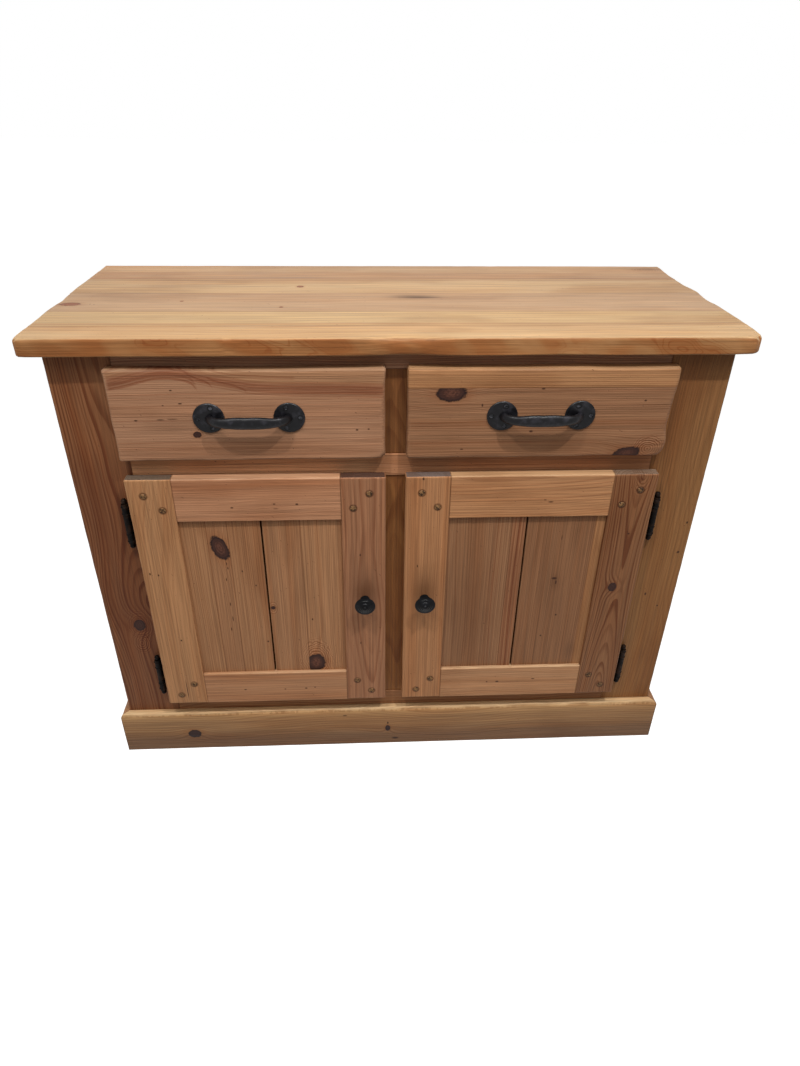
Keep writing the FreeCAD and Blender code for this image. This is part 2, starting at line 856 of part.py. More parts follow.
def hinge_pin(height):
    """The pin, with a collar and a ball finial at each end."""
    half = leaf_height / 2
    collar_top = half + finial_collar_height
    ball_centre = half + finial_height - finial_radius
    neck_top = ball_centre - finial_radius / 2
    ball_side = math.sqrt(finial_radius ** 2 - (finial_radius / 2) ** 2)
    profile = [
        Part.makeLine(V(0, 0, 0), V(pin_radius, 0, 0)),
        Part.makeLine(V(pin_radius, 0, 0), V(pin_radius, 0, half)),
        Part.makeLine(V(pin_radius, 0, half), V(finial_collar_radius, 0, half)),
        Part.makeLine(V(finial_collar_radius, 0, half), V(finial_collar_radius, 0, collar_top)),
        Part.makeLine(V(finial_collar_radius, 0, collar_top), V(finial_neck_radius, 0, collar_top)),
        Part.makeLine(V(finial_neck_radius, 0, collar_top), V(ball_side, 0, neck_top)),
        Part.Arc(
            V(ball_side, 0, neck_top),
            V(finial_radius, 0, ball_centre),
            V(0, 0, ball_centre + finial_radius),
        ).toShape(),
        Part.makeLine(V(0, 0, ball_centre + finial_radius), V(0, 0, 0)),
    ]
    upper = Part.Face(Part.Wire(profile)).revolve(V(0, 0, 0), V(0, 0, 1), 360)
    lower = upper.mirror(V(0, 0, 0), V(0, 0, 1))
    pin = upper.fuse(lower).removeSplitter()
    pin.translate(V(hinge_x, hinge_y, height))
    return pin


# Knobs

def knob():
    """The turned knob: base, neck, rim and rings that step up to a round button."""
    rim_start = knob_base_thickness + knob_neck_length
    rim_back = rim_start + knob_flare
    rim_front = rim_back + knob_rim_thickness
    points = [
        (0, 0),
        (knob_base_radius, 0),
        (knob_base_radius, knob_base_thickness),
        (knob_neck_radius, knob_base_thickness + knob_base_thickness),
        (knob_neck_radius, rim_start),
        (knob_radius - knob_rim_thickness, rim_back),
        (knob_radius, rim_back + knob_rim_thickness / 3),
        (knob_radius, rim_front - knob_rim_thickness / 3),
    ]
    level = rim_front
    for radius in knob_ring_radii:
        points.append((radius + knob_rim_thickness / 3, level))
        points.append((radius, level + knob_ring_height / 2))
        level = level + knob_ring_height
    points.append((knob_button_radius, level))
    corners = [V(radius, -reach, 0) for radius, reach in points]
    edges = [Part.makeLine(a, b) for a, b in zip(corners, corners[1:])]
    tip = V(0, -knob_reach, 0)
    rise = knob_reach - level
    dome_radius = (knob_button_radius ** 2 + rise ** 2) / (rise + rise)
    dome_centre = knob_reach - dome_radius
    half_turn = math.atan2(knob_button_radius, level - dome_centre) / 2
    shoulder = V(dome_radius * math.sin(half_turn), -dome_centre - dome_radius * math.cos(half_turn), 0)
    edges.append(Part.Arc(corners[-1], shoulder, tip).toShape())
    edges.append(Part.makeLine(tip, corners[0]))
    turned = Part.Face(Part.Wire(edges)).revolve(V(0, 0, 0), V(0, 1, 0), 360)
    turned.translate(V(knob_x, door_front_y, knob_height))
    return turned.cut(knob_bolt(screw_fit))


# Catches

def catch_body():
    """A catch under the middle rail, its face just behind the strike plate."""
    front = door_back_y + strike_thickness + catch_gap
    y = (front, front + catch_depth)
    return board(catch_x, y, strike_z, V(0, 1, 0), board_arris, lambda m: m.z < strike_z[1])


# Drawers, made for the right-hand side

pull_x = (door_half_gap + door_outer) / 2
drawer_z = (drawer_base, top_rail_bottom - drawer_top_play)
drawer_end_y = drawer_back_y - drawer_side_thickness
drawer_bottom_z = (drawer_base + drawer_bottom_rise, drawer_base + drawer_bottom_rise + drawer_bottom_thickness)
drawer_back_z = (drawer_bottom_z[1], drawer_z[1] - drawer_back_drop)


def side_spans():
    """The two drawer sides, in X."""
    inner = (drawer_inner, drawer_inner + drawer_side_thickness)
    outer = (drawer_outer - drawer_side_thickness, drawer_outer)
    return inner, outer


def dovetails(x):
    """The tails on the back end of one drawer side, wider at their ends than at their roots."""
    pitch = (drawer_back_z[1] - drawer_back_z[0]) / tail_count
    wide = pitch * tail_width_share / 2
    narrow = wide - drawer_side_thickness * tail_slope_share
    tails = []
    for index in range(tail_count):
        middle = drawer_back_z[0] + pitch * (index + 0.5)
        corners = [
            V(x[0], drawer_end_y, middle - narrow),
            V(x[0], drawer_back_y, middle - wide),
            V(x[0], drawer_back_y, middle + wide),
            V(x[0], drawer_end_y, middle + narrow),
        ]
        outline = Part.makePolygon(corners + corners[:1])
        tails.append(Part.Face(outline).extrude(V(x[1] - x[0], 0, 0)))
    return tails


def drawer_floor(play):
    """The drawer's bottom board, or the room for it in its grooves when play is nothing."""
    inner, outer = side_spans()
    x = (inner[1] - drawer_groove + play, outer[0] + drawer_groove - play)
    return box(x, (face_y - drawer_groove + play, drawer_back_y), drawer_bottom_z)


def drawer_sides():
    """Two sides, grooved for the bottom and cut to dovetails at the back."""
    sides = []
    for x in side_spans():
        plank = box(x, (face_y - drawer_housing, drawer_back_y), drawer_z)
        joint = box(x, (drawer_end_y, drawer_back_y + overrun), drawer_back_z)
        sockets = joint.cut(dovetails(x))
        sides.append(plank.cut([sockets, drawer_floor(0)]))
    return sides


def drawer_back():
    """The back board, its ends cut round the dovetails of the sides."""
    plank = box((drawer_inner, drawer_outer), (drawer_end_y, drawer_back_y), drawer_back_z)
    inner, outer = side_spans()
    return plank.cut(dovetails(inner) + dovetails(outer))


def rose_centres():
    """The middles of a pull's two roses, in X."""
    return (pull_x - pull_spacing / 2, pull_x + pull_spacing / 2)


def rose_screws(fit):
    """The screws through the roses into the drawer front."""
    slope = (rose_thickness - rose_edge) / rose_radius
    seat = rose_thickness - slope * rose_screw_circle - rose_screw_sink
    screws = []
    for centre, turn in zip(rose_centres(), (1, -1)):
        for angle in rose_screw_angles:
            x = centre + turn * rose_screw_circle * math.cos(math.radians(angle))
            z = pull_height + rose_screw_circle * math.sin(math.radians(angle))
            screws.append(screw_shape(V(x, drawer_front_y - seat, z), V(0, 1, 0), fit))
    return screws


def rose_mouths():
    """The open mouths over the rose screws' heads, wider at the rose's face."""
    seat = screw_head_radius + screw_fit
    mouths = []
    for screw in rose_screws(0):
        room = screw.BoundBox
        head = V(room.Center.x, room.YMin, room.Center.z)
        mouths.append(Part.makeCone(seat, rose_mouth_radius, rose_thickness, head, V(0, -1, 0)))
    return mouths


def natural_scoop(edge_x, depth):
    """What the natural edge leaves out of a front's right-hand arris: a shallow round hollow."""
    radius = (scoop_half_height ** 2 + depth ** 2) / (depth + depth)
    outwards = V(1, -1, 0).normalize()
    along = V(1, 1, 0).normalize()
    height = drawer_front_low + (drawer_front_high - drawer_front_low) * scoop_height_share
    middle = V(edge_x, drawer_front_y, height) + outwards * (radius - depth)
    return Part.makeCylinder(radius, radius + radius, middle - along * radius, along)


def drawer_front(side, shares, corner):
    """A drawer front with its natural edge, housed for the sides; side is 1 on the right."""
    low = drawer_front_low
    high = drawer_front_high
    ends = sorted((side * door_half_gap, side * door_outer))
    corners = [
        V(ends[0], drawer_front_y, low),
        V(ends[1], drawer_front_y, low),
        V(ends[1], drawer_front_y, high),
        V(ends[0], drawer_front_y, high),
    ]
    inwards = [V(0, 0, 1), V(-1, 0, 0), V(0, 0, -1), V(1, 0, 0)]
    waves = [drawer_wave, drawer_wane if side > 0 else drawer_wave, drawer_wave, drawer_wave]
    tables = [shares["bottom"], shares["right"], shares["top"], shares["left"]]
    front = waved_outline(corners, inwards, waves, tables).extrude(V(0, drawer_front_thickness, 0))
    upright = edges_along(front, V(0, 1, 0))
    worn = [e for e in upright if e.CenterOfMass.x > side * pull_x and e.CenterOfMass.z < pull_height]
    front = front.makeFillet(corner, [edge for edge in upright if edge not in worn])
    middle = worn[0].CenterOfMass
    again = [e for e in edges_along(front, V(0, 1, 0)) if e.CenterOfMass.distanceToPoint(middle) < corner]
    front = front.makeFillet(worn_corner, again)
    face = min(front.Faces, key=lambda f: f.CenterOfMass.y)
    front = front.makeFillet(drawer_arris, face.Edges)
    front = front.cut(natural_scoop(ends[1], scoop_depths[side]))
    tools = [box(x, (face_y - drawer_housing, face_y + overrun), drawer_z) for x in side_spans()]
    tools.append(drawer_floor(0))
    tools += rose_screws(screw_fit)
    if side < 0:
        tools = [mirrored(tool) for tool in tools]
    return front.cut(tools)


def bar_section(place, tangent, size):
    """An upright oval across the pull's bar, its height and depth given."""
    across = tangent.cross(V(0, 0, 1)).normalize()
    oval = Part.Ellipse(place + V(0, 0, size[0] / 2), place + across * (size[1] / 2), place)
    return Part.Wire(oval.toShape())


def pull():
    """A forged pull: a bar that swells in its middle and grows out of two round roses."""
    half = pull_spacing / 2
    centre_reach = pull_reach - bar_middle[1] / 2
    sizes = [bar_root, bar_neck, bar_neck, bar_shoulder, bar_middle]
    left = []
    for share, reach_share in zip(bar_station_shares, bar_reach_shares):
        left.append(V(pull_x - half * (1 - share), drawer_front_y - centre_reach * reach_share, pull_height))
    right = [V(pull_x + pull_x - point.x, point.y, point.z) for point in reversed(left[:-1])]
    places = left + right
    sizes = sizes + list(reversed(sizes[:-1]))
    path = Part.BSplineCurve()
    path.interpolate(places)
    sections = []
    for place, size in zip(places, sizes):
        tangent = path.tangent(path.parameter(place))[0]
        sections.append(bar_section(place, tangent, size))
    body = Part.makeLoft(sections, True)
    roses = [rose(x) for x in rose_centres()]
    behind_y = (drawer_front_y, drawer_front_y + drawer_front_thickness)
    behind_x = (pull_x - pull_spacing, pull_x + pull_spacing)
    behind_z = (pull_height - rose_radius - overrun, pull_height + rose_radius + overrun)
    whole = body.fuse(roses).cut(box(behind_x, behind_y, behind_z))
    return whole.cut(rose_screws(screw_fit) + rose_mouths()).removeSplitter()


def rose(x):
    """A round rose, thicker in the middle than at its softened edge."""
    edge = rose_edge / 2
    points = [
        V(0, 0, 0),
        V(rose_radius, 0, 0),
        V(rose_radius, -edge, 0),
        V(rose_radius - edge, -rose_edge, 0),
        V(0, -rose_thickness, 0),
    ]
    outline = Part.Face(Part.makePolygon(points + points[:1]))
    turned = outline.revolve(V(0, 0, 0), V(0, 1, 0), 360)
    turned.translate(V(x, drawer_front_y, pull_height))
    return turned


def save_door(name, turn):
    """Writes the pieces of one door; turn puts a right-hand piece on that door's side."""
    save(name + "_hinge_stile", [turn(door_hinge_stile())])
    save(name + "_meeting_stile", [turn(door_meeting_stile())])
    save(name + "_top_rail", [turn(door_rail("top"))])
    save(name + "_bottom_rail", [turn(door_rail("bottom"))])
    save(name + "_panel_boards", [turn(plank) for plank in door_panel()])
    save(name + "_pegs", [turn(peg) for peg in door_pegs()])
    save(name + "_knob", [turn(knob())])
    save(name + "_hinge_leaves", [turn(door_leaf(height)) for height in hinge_heights])
    save(name + "_strike_plate", [turn(door_strike())])
    screws = door_leaf_screws(0) + [strike_screw(0), knob_bolt(0)]
    save(name + "_screws", [turn(screw) for screw in screws])


def save_drawer(name, turn, front):
    """Writes the pieces of one drawer; turn puts a right-hand piece on that drawer's side."""
    save(name + "_front", [front])
    save(name + "_sides", [turn(side) for side in drawer_sides()])
    save(name + "_back", [turn(drawer_back())])
    save(name + "_bottom", [turn(drawer_floor(drawer_bottom_play))])
    save(name + "_pull", [turn(pull())])
    save(name + "_pull_screws", [turn(screw) for screw in rose_screws(0)])


def as_made(solid):
    """Leaves a right-hand piece where it is."""
    return solid


def save_carcass():
    """Writes everything that stands still."""
    for index, plank in enumerate(slab_boards()):
        save("top_board_" + str(index + 1), [plank])
    stile = right_stile().cut(frame_leaf_screws(screw_fit))
    save("right_stile", [stile])
    save("left_stile", [mirrored(stile)])
    for name, level in rail_levels.items():
        save(name, [rail(level)])
    for name, level in muntin_levels.items():
        save(name, [muntin(level)])
    side = right_side_boards()
    save("right_side_boards", side)
    save("left_side_boards", [mirrored(plank) for plank in side])
    save("back_boards", [back_board(index) for index in range(back_board_count)])
    save("back_rails", back_rails())
    save("floor_boards", floor_boards())
    save("shelf_boards", shelf_boards())
    save("battens", battens())
    save("drawer_runners", drawer_runners())
    save("drawer_guides", drawer_guides())
    save("kickers", kickers())
    save("plinth_front", [plinth_front()])
    save("plinth_returns", both_sides(plinth_return()))
    leaves = [frame_leaf(height) for height in hinge_heights]
    save("hinge_frame_leaves", leaves + [mirrored(leaf) for leaf in leaves])
    pins = [hinge_pin(height) for height in hinge_heights]
    save("hinge_pins", pins + [mirrored(pin) for pin in pins])
    screws = frame_leaf_screws(0)
    save("hinge_frame_screws", screws + [mirrored(screw) for screw in screws])
    save("door_catches", both_sides(catch_body()))


os.makedirs("parts", exist_ok=True)
save_carcass()
save_door("right_door", as_made)
save_door("left_door", mirrored)
save_drawer("right_drawer", as_made, drawer_front(1, waney_drawer_shares, drawer_corner))
save_drawer("left_drawer", mirrored, drawer_front(-1, plain_drawer_shares, drawer_corner))
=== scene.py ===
import math

import bpy
from mathutils import Matrix, Vector, noise


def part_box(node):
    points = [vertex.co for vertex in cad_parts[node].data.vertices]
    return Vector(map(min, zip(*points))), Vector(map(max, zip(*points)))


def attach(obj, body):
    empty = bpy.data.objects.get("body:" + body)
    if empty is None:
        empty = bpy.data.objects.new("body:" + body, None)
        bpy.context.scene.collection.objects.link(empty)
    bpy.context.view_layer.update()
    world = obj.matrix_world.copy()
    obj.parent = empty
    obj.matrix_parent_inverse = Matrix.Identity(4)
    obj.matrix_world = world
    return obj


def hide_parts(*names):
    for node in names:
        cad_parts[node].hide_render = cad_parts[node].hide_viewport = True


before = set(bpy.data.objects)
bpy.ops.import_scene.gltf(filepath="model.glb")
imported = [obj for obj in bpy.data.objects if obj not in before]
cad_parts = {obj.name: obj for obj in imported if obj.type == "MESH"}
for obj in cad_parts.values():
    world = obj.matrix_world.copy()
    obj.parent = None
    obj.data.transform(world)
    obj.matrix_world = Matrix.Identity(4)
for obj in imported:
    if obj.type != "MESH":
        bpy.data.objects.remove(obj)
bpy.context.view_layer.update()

# All in metres: the front faces -Y, +X is to the viewer's right and +Z is up.

# Camera, as the photograph was taken
CAMERA_PLACE = Vector((-0.0511, -1.2777, 1.1781))
CAMERA_PITCH = math.radians(31.967)
CAMERA_YAW = math.radians(3.186)
CAMERA_ROLL = math.radians(0.808)
CAMERA_LENS = 25.0
CAMERA_SENSOR = 36.0

# Spotlights high in front, as place, target, radius and power, and a weak even sky: a wide lamp
# for each half gives the soft light and a small one the edges of the shadows
LAMPS = (
    ((-0.86, -0.97, 2.3), (-0.33, -0.1, 0.55), 0.9, 76.0), ((0.8, -0.97, 2.3), (0.33, -0.1, 0.55), 0.9, 62.0),
    ((-0.5, -0.97, 2.3), (-0.33, -0.1, 0.55), 0.03, 45.0), ((0.52, -0.97, 2.3), (0.33, -0.1, 0.55), 0.03, 64.0))
LAMP_CONE = math.radians(74.0)
SKY = 0.27
FLOOR_SIZE = 30.0
FLOOR_COLOUR = 0.42
FLOOR_OWN_LIGHT = 0.90

# Planes and levels of the piece
SIDES = ("left", "right")
SLAB_FRONT, SLAB_TOP, SLAB_HALF = -0.2212, 0.85, 0.550
FRAME_FACE = -0.1952
STILE_INNER = 0.424
PANEL_SPLIT = 0.225
PANEL_GAP = 0.0024
PLINTH_INNER, PLINTH_OUTER, PLINTH_ROUND = 0.522, 0.537, 0.0095
PULL_LEVEL = 0.7267
ROSE_SCREW_CIRCLE = 0.017
PEG_SPREAD = 0.014
PEG_SIDES = 9
JOINT = 0.0004    # the arris of an edge that is hidden in a joint
ROSES = ((0.164, 1), (0.286, -1))    # each rose's distance from the middle plane, and how its screws are turned


# Node graphs

KNOT_PARTS = ("Core", "Halo", "Rim", "Ring", "Bend", "Heart")
KNOT_RING = 0.0036


def linear(colour):
    """An sRGB colour of 0 to 255 as the linear colour that a shader takes."""
    values = []
    for part in colour:
        share = part / 255
        values.append(share / 12.92 if share <= 0.04045 else ((share + 0.055) / 1.055) ** 2.4)
    return (*values, 1.0)


def scaled(colour, factors):
    """A linear colour multiplied part by part."""
    return (*[part * factor for part, factor in zip(colour, factors)], 1.0)


class Graph:
    """A node tree that is written as calls: a socket or a plain value goes into each input."""

    def __init__(self, tree):
        self.tree = tree

    def node(self, kind, inputs=(), **settings):
        made = self.tree.nodes.new("ShaderNode" + kind)
        for name, value in settings.items():
            setattr(made, name, value)
        for key, value in dict(inputs).items():
            self.put(made.inputs[key], value)
        return made

    def put(self, socket, value):
        if isinstance(value, bpy.types.NodeSocket):
            self.tree.links.new(value, socket)
        else:
            socket.default_value = value

    def math(self, operation, *values):
        made = self.node("Math", operation=operation)
        for socket, value in zip(made.inputs, values):
            self.put(socket, value)
        return made.outputs[0]

    def chain(self, operation, values):
        total = values[0]
        for value in values[1:]:
            total = self.math(operation, total, value)
        return total

    def add(self, *values):
        return self.chain("ADD", values)

    def times(self, *values):
        return self.chain("MULTIPLY", values)

    def most(self, *values):
        return self.chain("MAXIMUM", values)

    def minus(self, first, second):
        return self.math("SUBTRACT", first, second)

    def size(self, value):
        return self.math("ABSOLUTE", value)

    def length(self, *parts):
        return self.math("SQRT", self.add(*[self.times(part, part) for part in parts]))

    def above(self, value, level):
        return self.math("GREATER_THAN", value, level)

    def step(self, value, low, high, start=0.0, end=1.0):
        """A smooth step from start to end, while value goes from low to high."""
        made = self.node("MapRange", interpolation_type="SMOOTHSTEP")
        for socket, given in zip(made.inputs, (value, low, high, start, end)):
            self.put(socket, given)
        return made.outputs[0]

    def fall(self, value, low, high, start=1.0):
        return self.step(value, low, high, start, 0.0)

    def curve(self, value, points):
        """A smooth curve through (place, value) points that run up in place."""
        lows = [min(point[axis] for point in points) for axis in (0, 1)]
        spans = [max(point[axis] for point in points) - lows[axis] for axis in (0, 1)]
        if not spans[1]:
            return lows[1]
        made = self.node("FloatCurve", {"Value": self.math("DIVIDE", self.minus(value, lows[0]), spans[0])})
        line = made.mapping.curves[0]
        spots = [[(point[axis] - lows[axis]) / spans[axis] for axis in (0, 1)] for point in points]
        line.points[0].location = spots[0]
        line.points[1].location = spots[-1]
        for spot in spots[1:-1]:
            line.points.new(*spot)
        made.mapping.update()
        return self.add(self.times(made.outputs[0], spans[1]), lows[1])

    def mix(self, share, first, second, blend="MIX"):
        made = self.node("Mix", data_type="RGBA", blend_type=blend)
        self.put(made.inputs[0], share)
        self.put(made.inputs[6], first)
        self.put(made.inputs[7], second)
        return made.outputs[2]

    def dim(self, share, colour, factors):
        """The colour, multiplied by the factors where share is one."""
        return self.mix(share, colour, (*factors, 1.0), "MULTIPLY")

    def join(self, x, y, z):
        return self.node("CombineXYZ", {0: x, 1: y, 2: z}).outputs[0]

    def split(self, vector):
        return self.node("SeparateXYZ", {0: vector}).outputs

    def noise(self, vector, scale=1.0, detail=2.0):
        return self.node("TexNoise", {"Vector": vector, "Scale": scale, "Detail": detail}).outputs["Fac"]

    def group(self, tree, **values):
        made = self.node("Group", node_tree=tree)
        for name, value in values.items():
            self.put(made.inputs[name.replace("_", " ")], value)
        return made.outputs


def new_group(name, inputs, outputs):
    """A node group with plain number sockets: its graph, its inputs and its output node's sockets."""
    tree = bpy.data.node_groups.new(name, "ShaderNodeTree")
    for label in inputs:
        tree.interface.new_socket(label, in_out="INPUT", socket_type="NodeSocketFloat")
    for label in outputs:
        tree.interface.new_socket(label, in_out="OUTPUT", socket_type="NodeSocketFloat")
    graph = Graph(tree)
    return graph, tree.nodes.new("NodeGroupInput").outputs, tree.nodes.new("NodeGroupOutput").inputs


def figure_group():
    """The figure of a pine board: growth rings round a wandering pith, fibres, patches and stains."""
    names = ("Along", "Across", "Depth", "Ring", "Pith Across", "Pith Depth", "Wander", "Seed", "Bend")
    outputs = ("Late", "Band", "Fibre", "Streak", "Patch", "Cloud", "Stain")
    g, given, out = new_group("pine_figure", names, outputs)
    along, across, depth, ring, pith_across, pith_depth, wander, seed, bend = [given[n] for n in names]
    seeded = g.times(seed, 7.31)

    def stretched(along_scale, across_scale, detail, shift):
        spot = g.join(
            g.add(g.times(along, along_scale), seeded, shift), g.add(g.times(across, across_scale), seed),
            g.times(depth, across_scale))
        return g.noise(spot, detail=detail)

    wide_warp = g.times(g.add(stretched(1.9, 11.0, 2.0, 1.0), -0.5), wander, 0.028)
    fine_warp = g.times(g.add(stretched(7.0, 70.0, 2.0, 5.0), -0.5), wander, 0.0018)
    drift = g.add(g.noise(g.join(g.times(along, 2.3), seeded, 0.0), detail=1.0), -0.5)
    side = g.minus(across, g.add(pith_across, g.times(drift, wander, -0.03)))
    sink = g.minus(depth, g.add(pith_depth, g.times(drift, wander, 0.05)))
    rings = g.math("DIVIDE", g.add(g.length(side, sink), wide_warp, fine_warp, bend), ring)
    uneven = g.noise(g.join(g.times(rings, 0.31), seeded, 3.0), detail=1.0)
    count = g.add(rings, g.times(uneven, 2.2))
    phase = g.math("FRACT", count)
    late = g.times(g.step(phase, 0.34, 0.86), g.fall(phase, 0.90, 1.0))
    strength = g.noise(g.join(g.times(g.math("FLOOR", count), 0.83), seeded, 11.0), detail=0.0)
    g.put(out["Late"], g.times(late, g.step(strength, 0.28, 0.70, 0.25, 1.0)))
    g.put(out["Band"], g.noise(g.join(g.times(count, 0.16), seeded, 19.0), detail=1.0))
    g.put(out["Fibre"], stretched(26.0, 1500.0, 2.0, 17.0))
    g.put(out["Streak"], stretched(6.0, 430.0, 3.0, 23.0))
    g.put(out["Patch"], stretched(2.2, 16.0, 2.0, 31.0))
    g.put(out["Cloud"], stretched(11.0, 30.0, 3.0, 41.0))
    g.put(out["Stain"], stretched(4.5, 11.0, 4.0, 53.0))
    return g.tree


def mark_group():
    """A small dark mark, such as a worm hole or a bruise."""
    names = ("Along", "Across", "At Along", "At Across", "Half Along", "Half Across")
    g, given, out = new_group("pine_mark", names, ("Mark",))
    along, across, at_along, at_across, half_along, half_across = [given[n] for n in names]
    u = g.math("DIVIDE", g.minus(along, at_along), half_along)
    v = g.math("DIVIDE", g.minus(across, at_across), half_across)
    g.put(out["Mark"], g.fall(g.length(u, v), 0.45, 1.15))
    return g.tree


def knot_group():
    """One knot: its dark core, the warm wood round it, its rim, and how far it bends the rings."""
    names = ("Along", "Across", "At Along", "At Across", "Half Along", "Half Across", "Turn", "Pull")
    g, given, out = new_group("pine_knot", names, KNOT_PARTS)
    along, across, at_along, at_across, half_along, half_across, turn, pull = [given[n] for n in names]
    x = g.minus(along, at_along)
    y = g.minus(across, at_across)
    cosine, sine = g.math("COSINE", turn), g.math("SINE", turn)
    u = g.math("DIVIDE", g.add(g.times(x, cosine), g.times(y, sine)), half_along)
    v = g.math("DIVIDE", g.minus(g.times(y, cosine), g.times(x, sine)), half_across)
    smooth = g.length(u, v)
    rough = g.noise(g.join(g.times(x, 80.0), g.times(y, 80.0), at_along), detail=4.0)
    reach = g.times(smooth, g.add(g.times(rough, 0.44), 0.78))
    g.put(out["Core"], g.fall(reach, 0.90, 1.05))
    g.put(out["Halo"], g.fall(reach, 0.9, 2.1))
    g.put(out["Rim"], g.times(g.step(reach, 0.74, 0.94), g.fall(reach, 0.98, 1.12)))
    g.put(out["Heart"], g.times(g.fall(reach, 0.15, 0.85), g.step(half_across, 0.009, 0.016)))
    turns = g.times(reach, half_across, math.tau / KNOT_RING)
    g.put(out["Ring"], g.step(g.math("SINE", turns), -0.3, 0.9))
    g.put(out["Bend"], g.times(g.math("EXPONENT", g.times(smooth, smooth, -0.20)), pull))
    return g.tree


FIGURE = figure_group()
KNOT = knot_group()
MARK = mark_group()
AXES = {"X": 0, "Y": 1, "Z": 2}
KNOT_CORE = (58, 34, 27)
KNOT_HEART = (116, 74, 57)
KNOT_RIM = (34, 17, 13)
RIPPLE_WOOD = (0.50, 0.34, 0.26)
VEIN_WOOD = (0.62, 0.42, 0.34)
SPECK_COLOUR = (52, 26, 16)
LIGHT_WOOD = (1.20, 1.22, 1.24)
LATE_WOOD = (0.66, 0.50, 0.42)
TINTED_WOOD = (0.86, 0.74, 0.64)
STAINED_WOOD = (0.74, 0.66, 0.60)
# Paler wood on the arrises: real wear and a painted highlight
RUBBED_AND_HIGHLIT_WOOD = (1.34, 1.48, 1.56)
HALO_WOOD = (0.80, 0.62, 0.50)
KNOT_RINGS = (0.62, 0.54, 0.50)
GLUE_LINE = (0.45, 0.36, 0.30)
JOINT_DIRT = (0.40, 0.32, 0.27)
SMEARED_WOOD = (0.28, 0.24, 0.22)
TORN_WOOD = (0.50, 0.40, 0.34)
PEG_GAP_WOOD = (0.26, 0.20, 0.16)
PAINTED_PIT_SHADE = (0.06, 0.06, 0.06)
KNOT_MOTTLE = 260.0
VEIN_END, VEIN_THREADS = 0.006, 3300.0
PEG_GAP = (0.0053, 0.0086)
PIT_SHADE_RADII = (0.0040, 0.0054)


def new_material(name):
    """A new material, its graph and its main shader node."""
    material = bpy.data.materials.new(name)
    material.use_nodes = True
    return material, Graph(material.node_tree), material.node_tree.nodes["Principled BSDF"]


def surface(g, shader, colour, roughness, gloss, height, strength, distance):
    """Gives a shader its colour, roughness, gloss and bump."""
    g.put(shader.inputs["Base Color"], colour)
    g.put(shader.inputs["Roughness"], roughness)
    g.put(shader.inputs["Specular IOR Level"], gloss)
    bump = g.node("Bump", {"Strength": strength, "Distance": distance, "Height": height})
    g.put(shader.inputs["Normal"], bump.outputs[0])


def laid(g, tree, point, spot, **more):
    """A group laid at a spot, which starts with (along, across, half along, half across)."""
    names = ("At_Along", "At_Across", "Half_Along", "Half_Across")
    return g.group(tree, Along=point[0], Across=point[1], **dict(zip(names, spot)), **more)


def within_strip(g, across, knot, strips):
    """One on the strip that holds the knot, when the board is glued up and the knot is cut at a joint."""
    keep = 1.0
    for border, _ in strips:
        if abs(knot[1] - border) < 3 * knot[3]:
            keep = g.times(keep, g.math("GREATER_THAN" if knot[1] > border else "LESS_THAN", across, border))
    return keep


def with_strips(g, wood, across, strips):
    """The tone of each strip of a board that is glued up, and the lines between them."""
    for border, factors in strips:
        wood = g.dim(g.above(across, border), wood, factors)
        line = g.fall(g.size(g.minus(across, border)), 0.0003, 0.0013, 0.6)
        wood = g.dim(line, wood, GLUE_LINE)
    return wood


def with_veins(g, wood, point, figure, veins):
    """Dark bands that follow curves, with a lighter or darker tone above them."""
    along, across = point
    for points, stripes, above in veins:
        first, last = points[0][0], points[-1][0]
        ends = g.times(g.step(along, first, first + VEIN_END), g.fall(along, last - VEIN_END, last))
        off = g.add(
            g.minus(across, g.curve(along, points)), g.times(g.add(figure["Patch"], -0.5), 0.01),
            g.times(g.add(figure["Cloud"], -0.5), 0.004))
        if above:
            wood = g.dim(g.times(g.step(off, 0.0, VEIN_END), ends), wood, above)
        for offset, half, strength in stripes:
            near = g.fall(g.size(g.minus(off, offset)), half * 0.35, half * 1.3, strength)
            thread = g.step(g.math("SINE", g.times(off, VEIN_THREADS)), -0.5, 0.7, 0.60, 1.0)
            wood = g.dim(g.times(near, ends, thread), wood, VEIN_WOOD)
    return wood


def with_ripples(g, wood, point, figure, ripples):
    """Close rings round each place."""
    for ripple in ripples:
        eddy = laid(g, KNOT, point, ripple, Turn=0.0, Pull=1.0)
        near = g.times(g.step(eddy["Bend"], 0.76, 0.90), g.step(figure["Cloud"], 0.30, 0.60, 0.45, 1.0), ripple[4])
        wood = g.dim(g.times(near, eddy["Ring"]), wood, RIPPLE_WOOD)
        wood = g.dim(g.times(near, g.minus(1.0, eddy["Ring"])), wood, LIGHT_WOOD)
    return wood


def with_knots(g, wood, point, knots, seed, tone):
    """The wood with its knots, and where their cores are."""
    if not knots:
        return wood, 0.0

    def all_of(name):
        return g.most(*[knot[name] for knot in knots])

    core = all_of("Core")
    wood = g.dim(g.times(all_of("Halo"), 0.45), wood, HALO_WOOD)
    mottled = g.noise(g.join(*[g.times(part, KNOT_MOTTLE) for part in point], float(seed)), detail=3.0)
    pale = g.times(all_of("Heart"), g.step(mottled, 0.34, 0.62, 0.35, 1.0))
    heart = g.mix(pale, scaled(linear(KNOT_CORE), tone), scaled(linear(KNOT_HEART), tone))
    heart = g.dim(g.times(all_of("Ring"), 0.7), heart, KNOT_RINGS)
    rim = g.times(all_of("Rim"), g.step(mottled, 0.36, 0.58, 0.30, 1.0))
    return g.mix(rim, g.mix(core, wood, heart), scaled(linear(KNOT_RIM), tone)), core


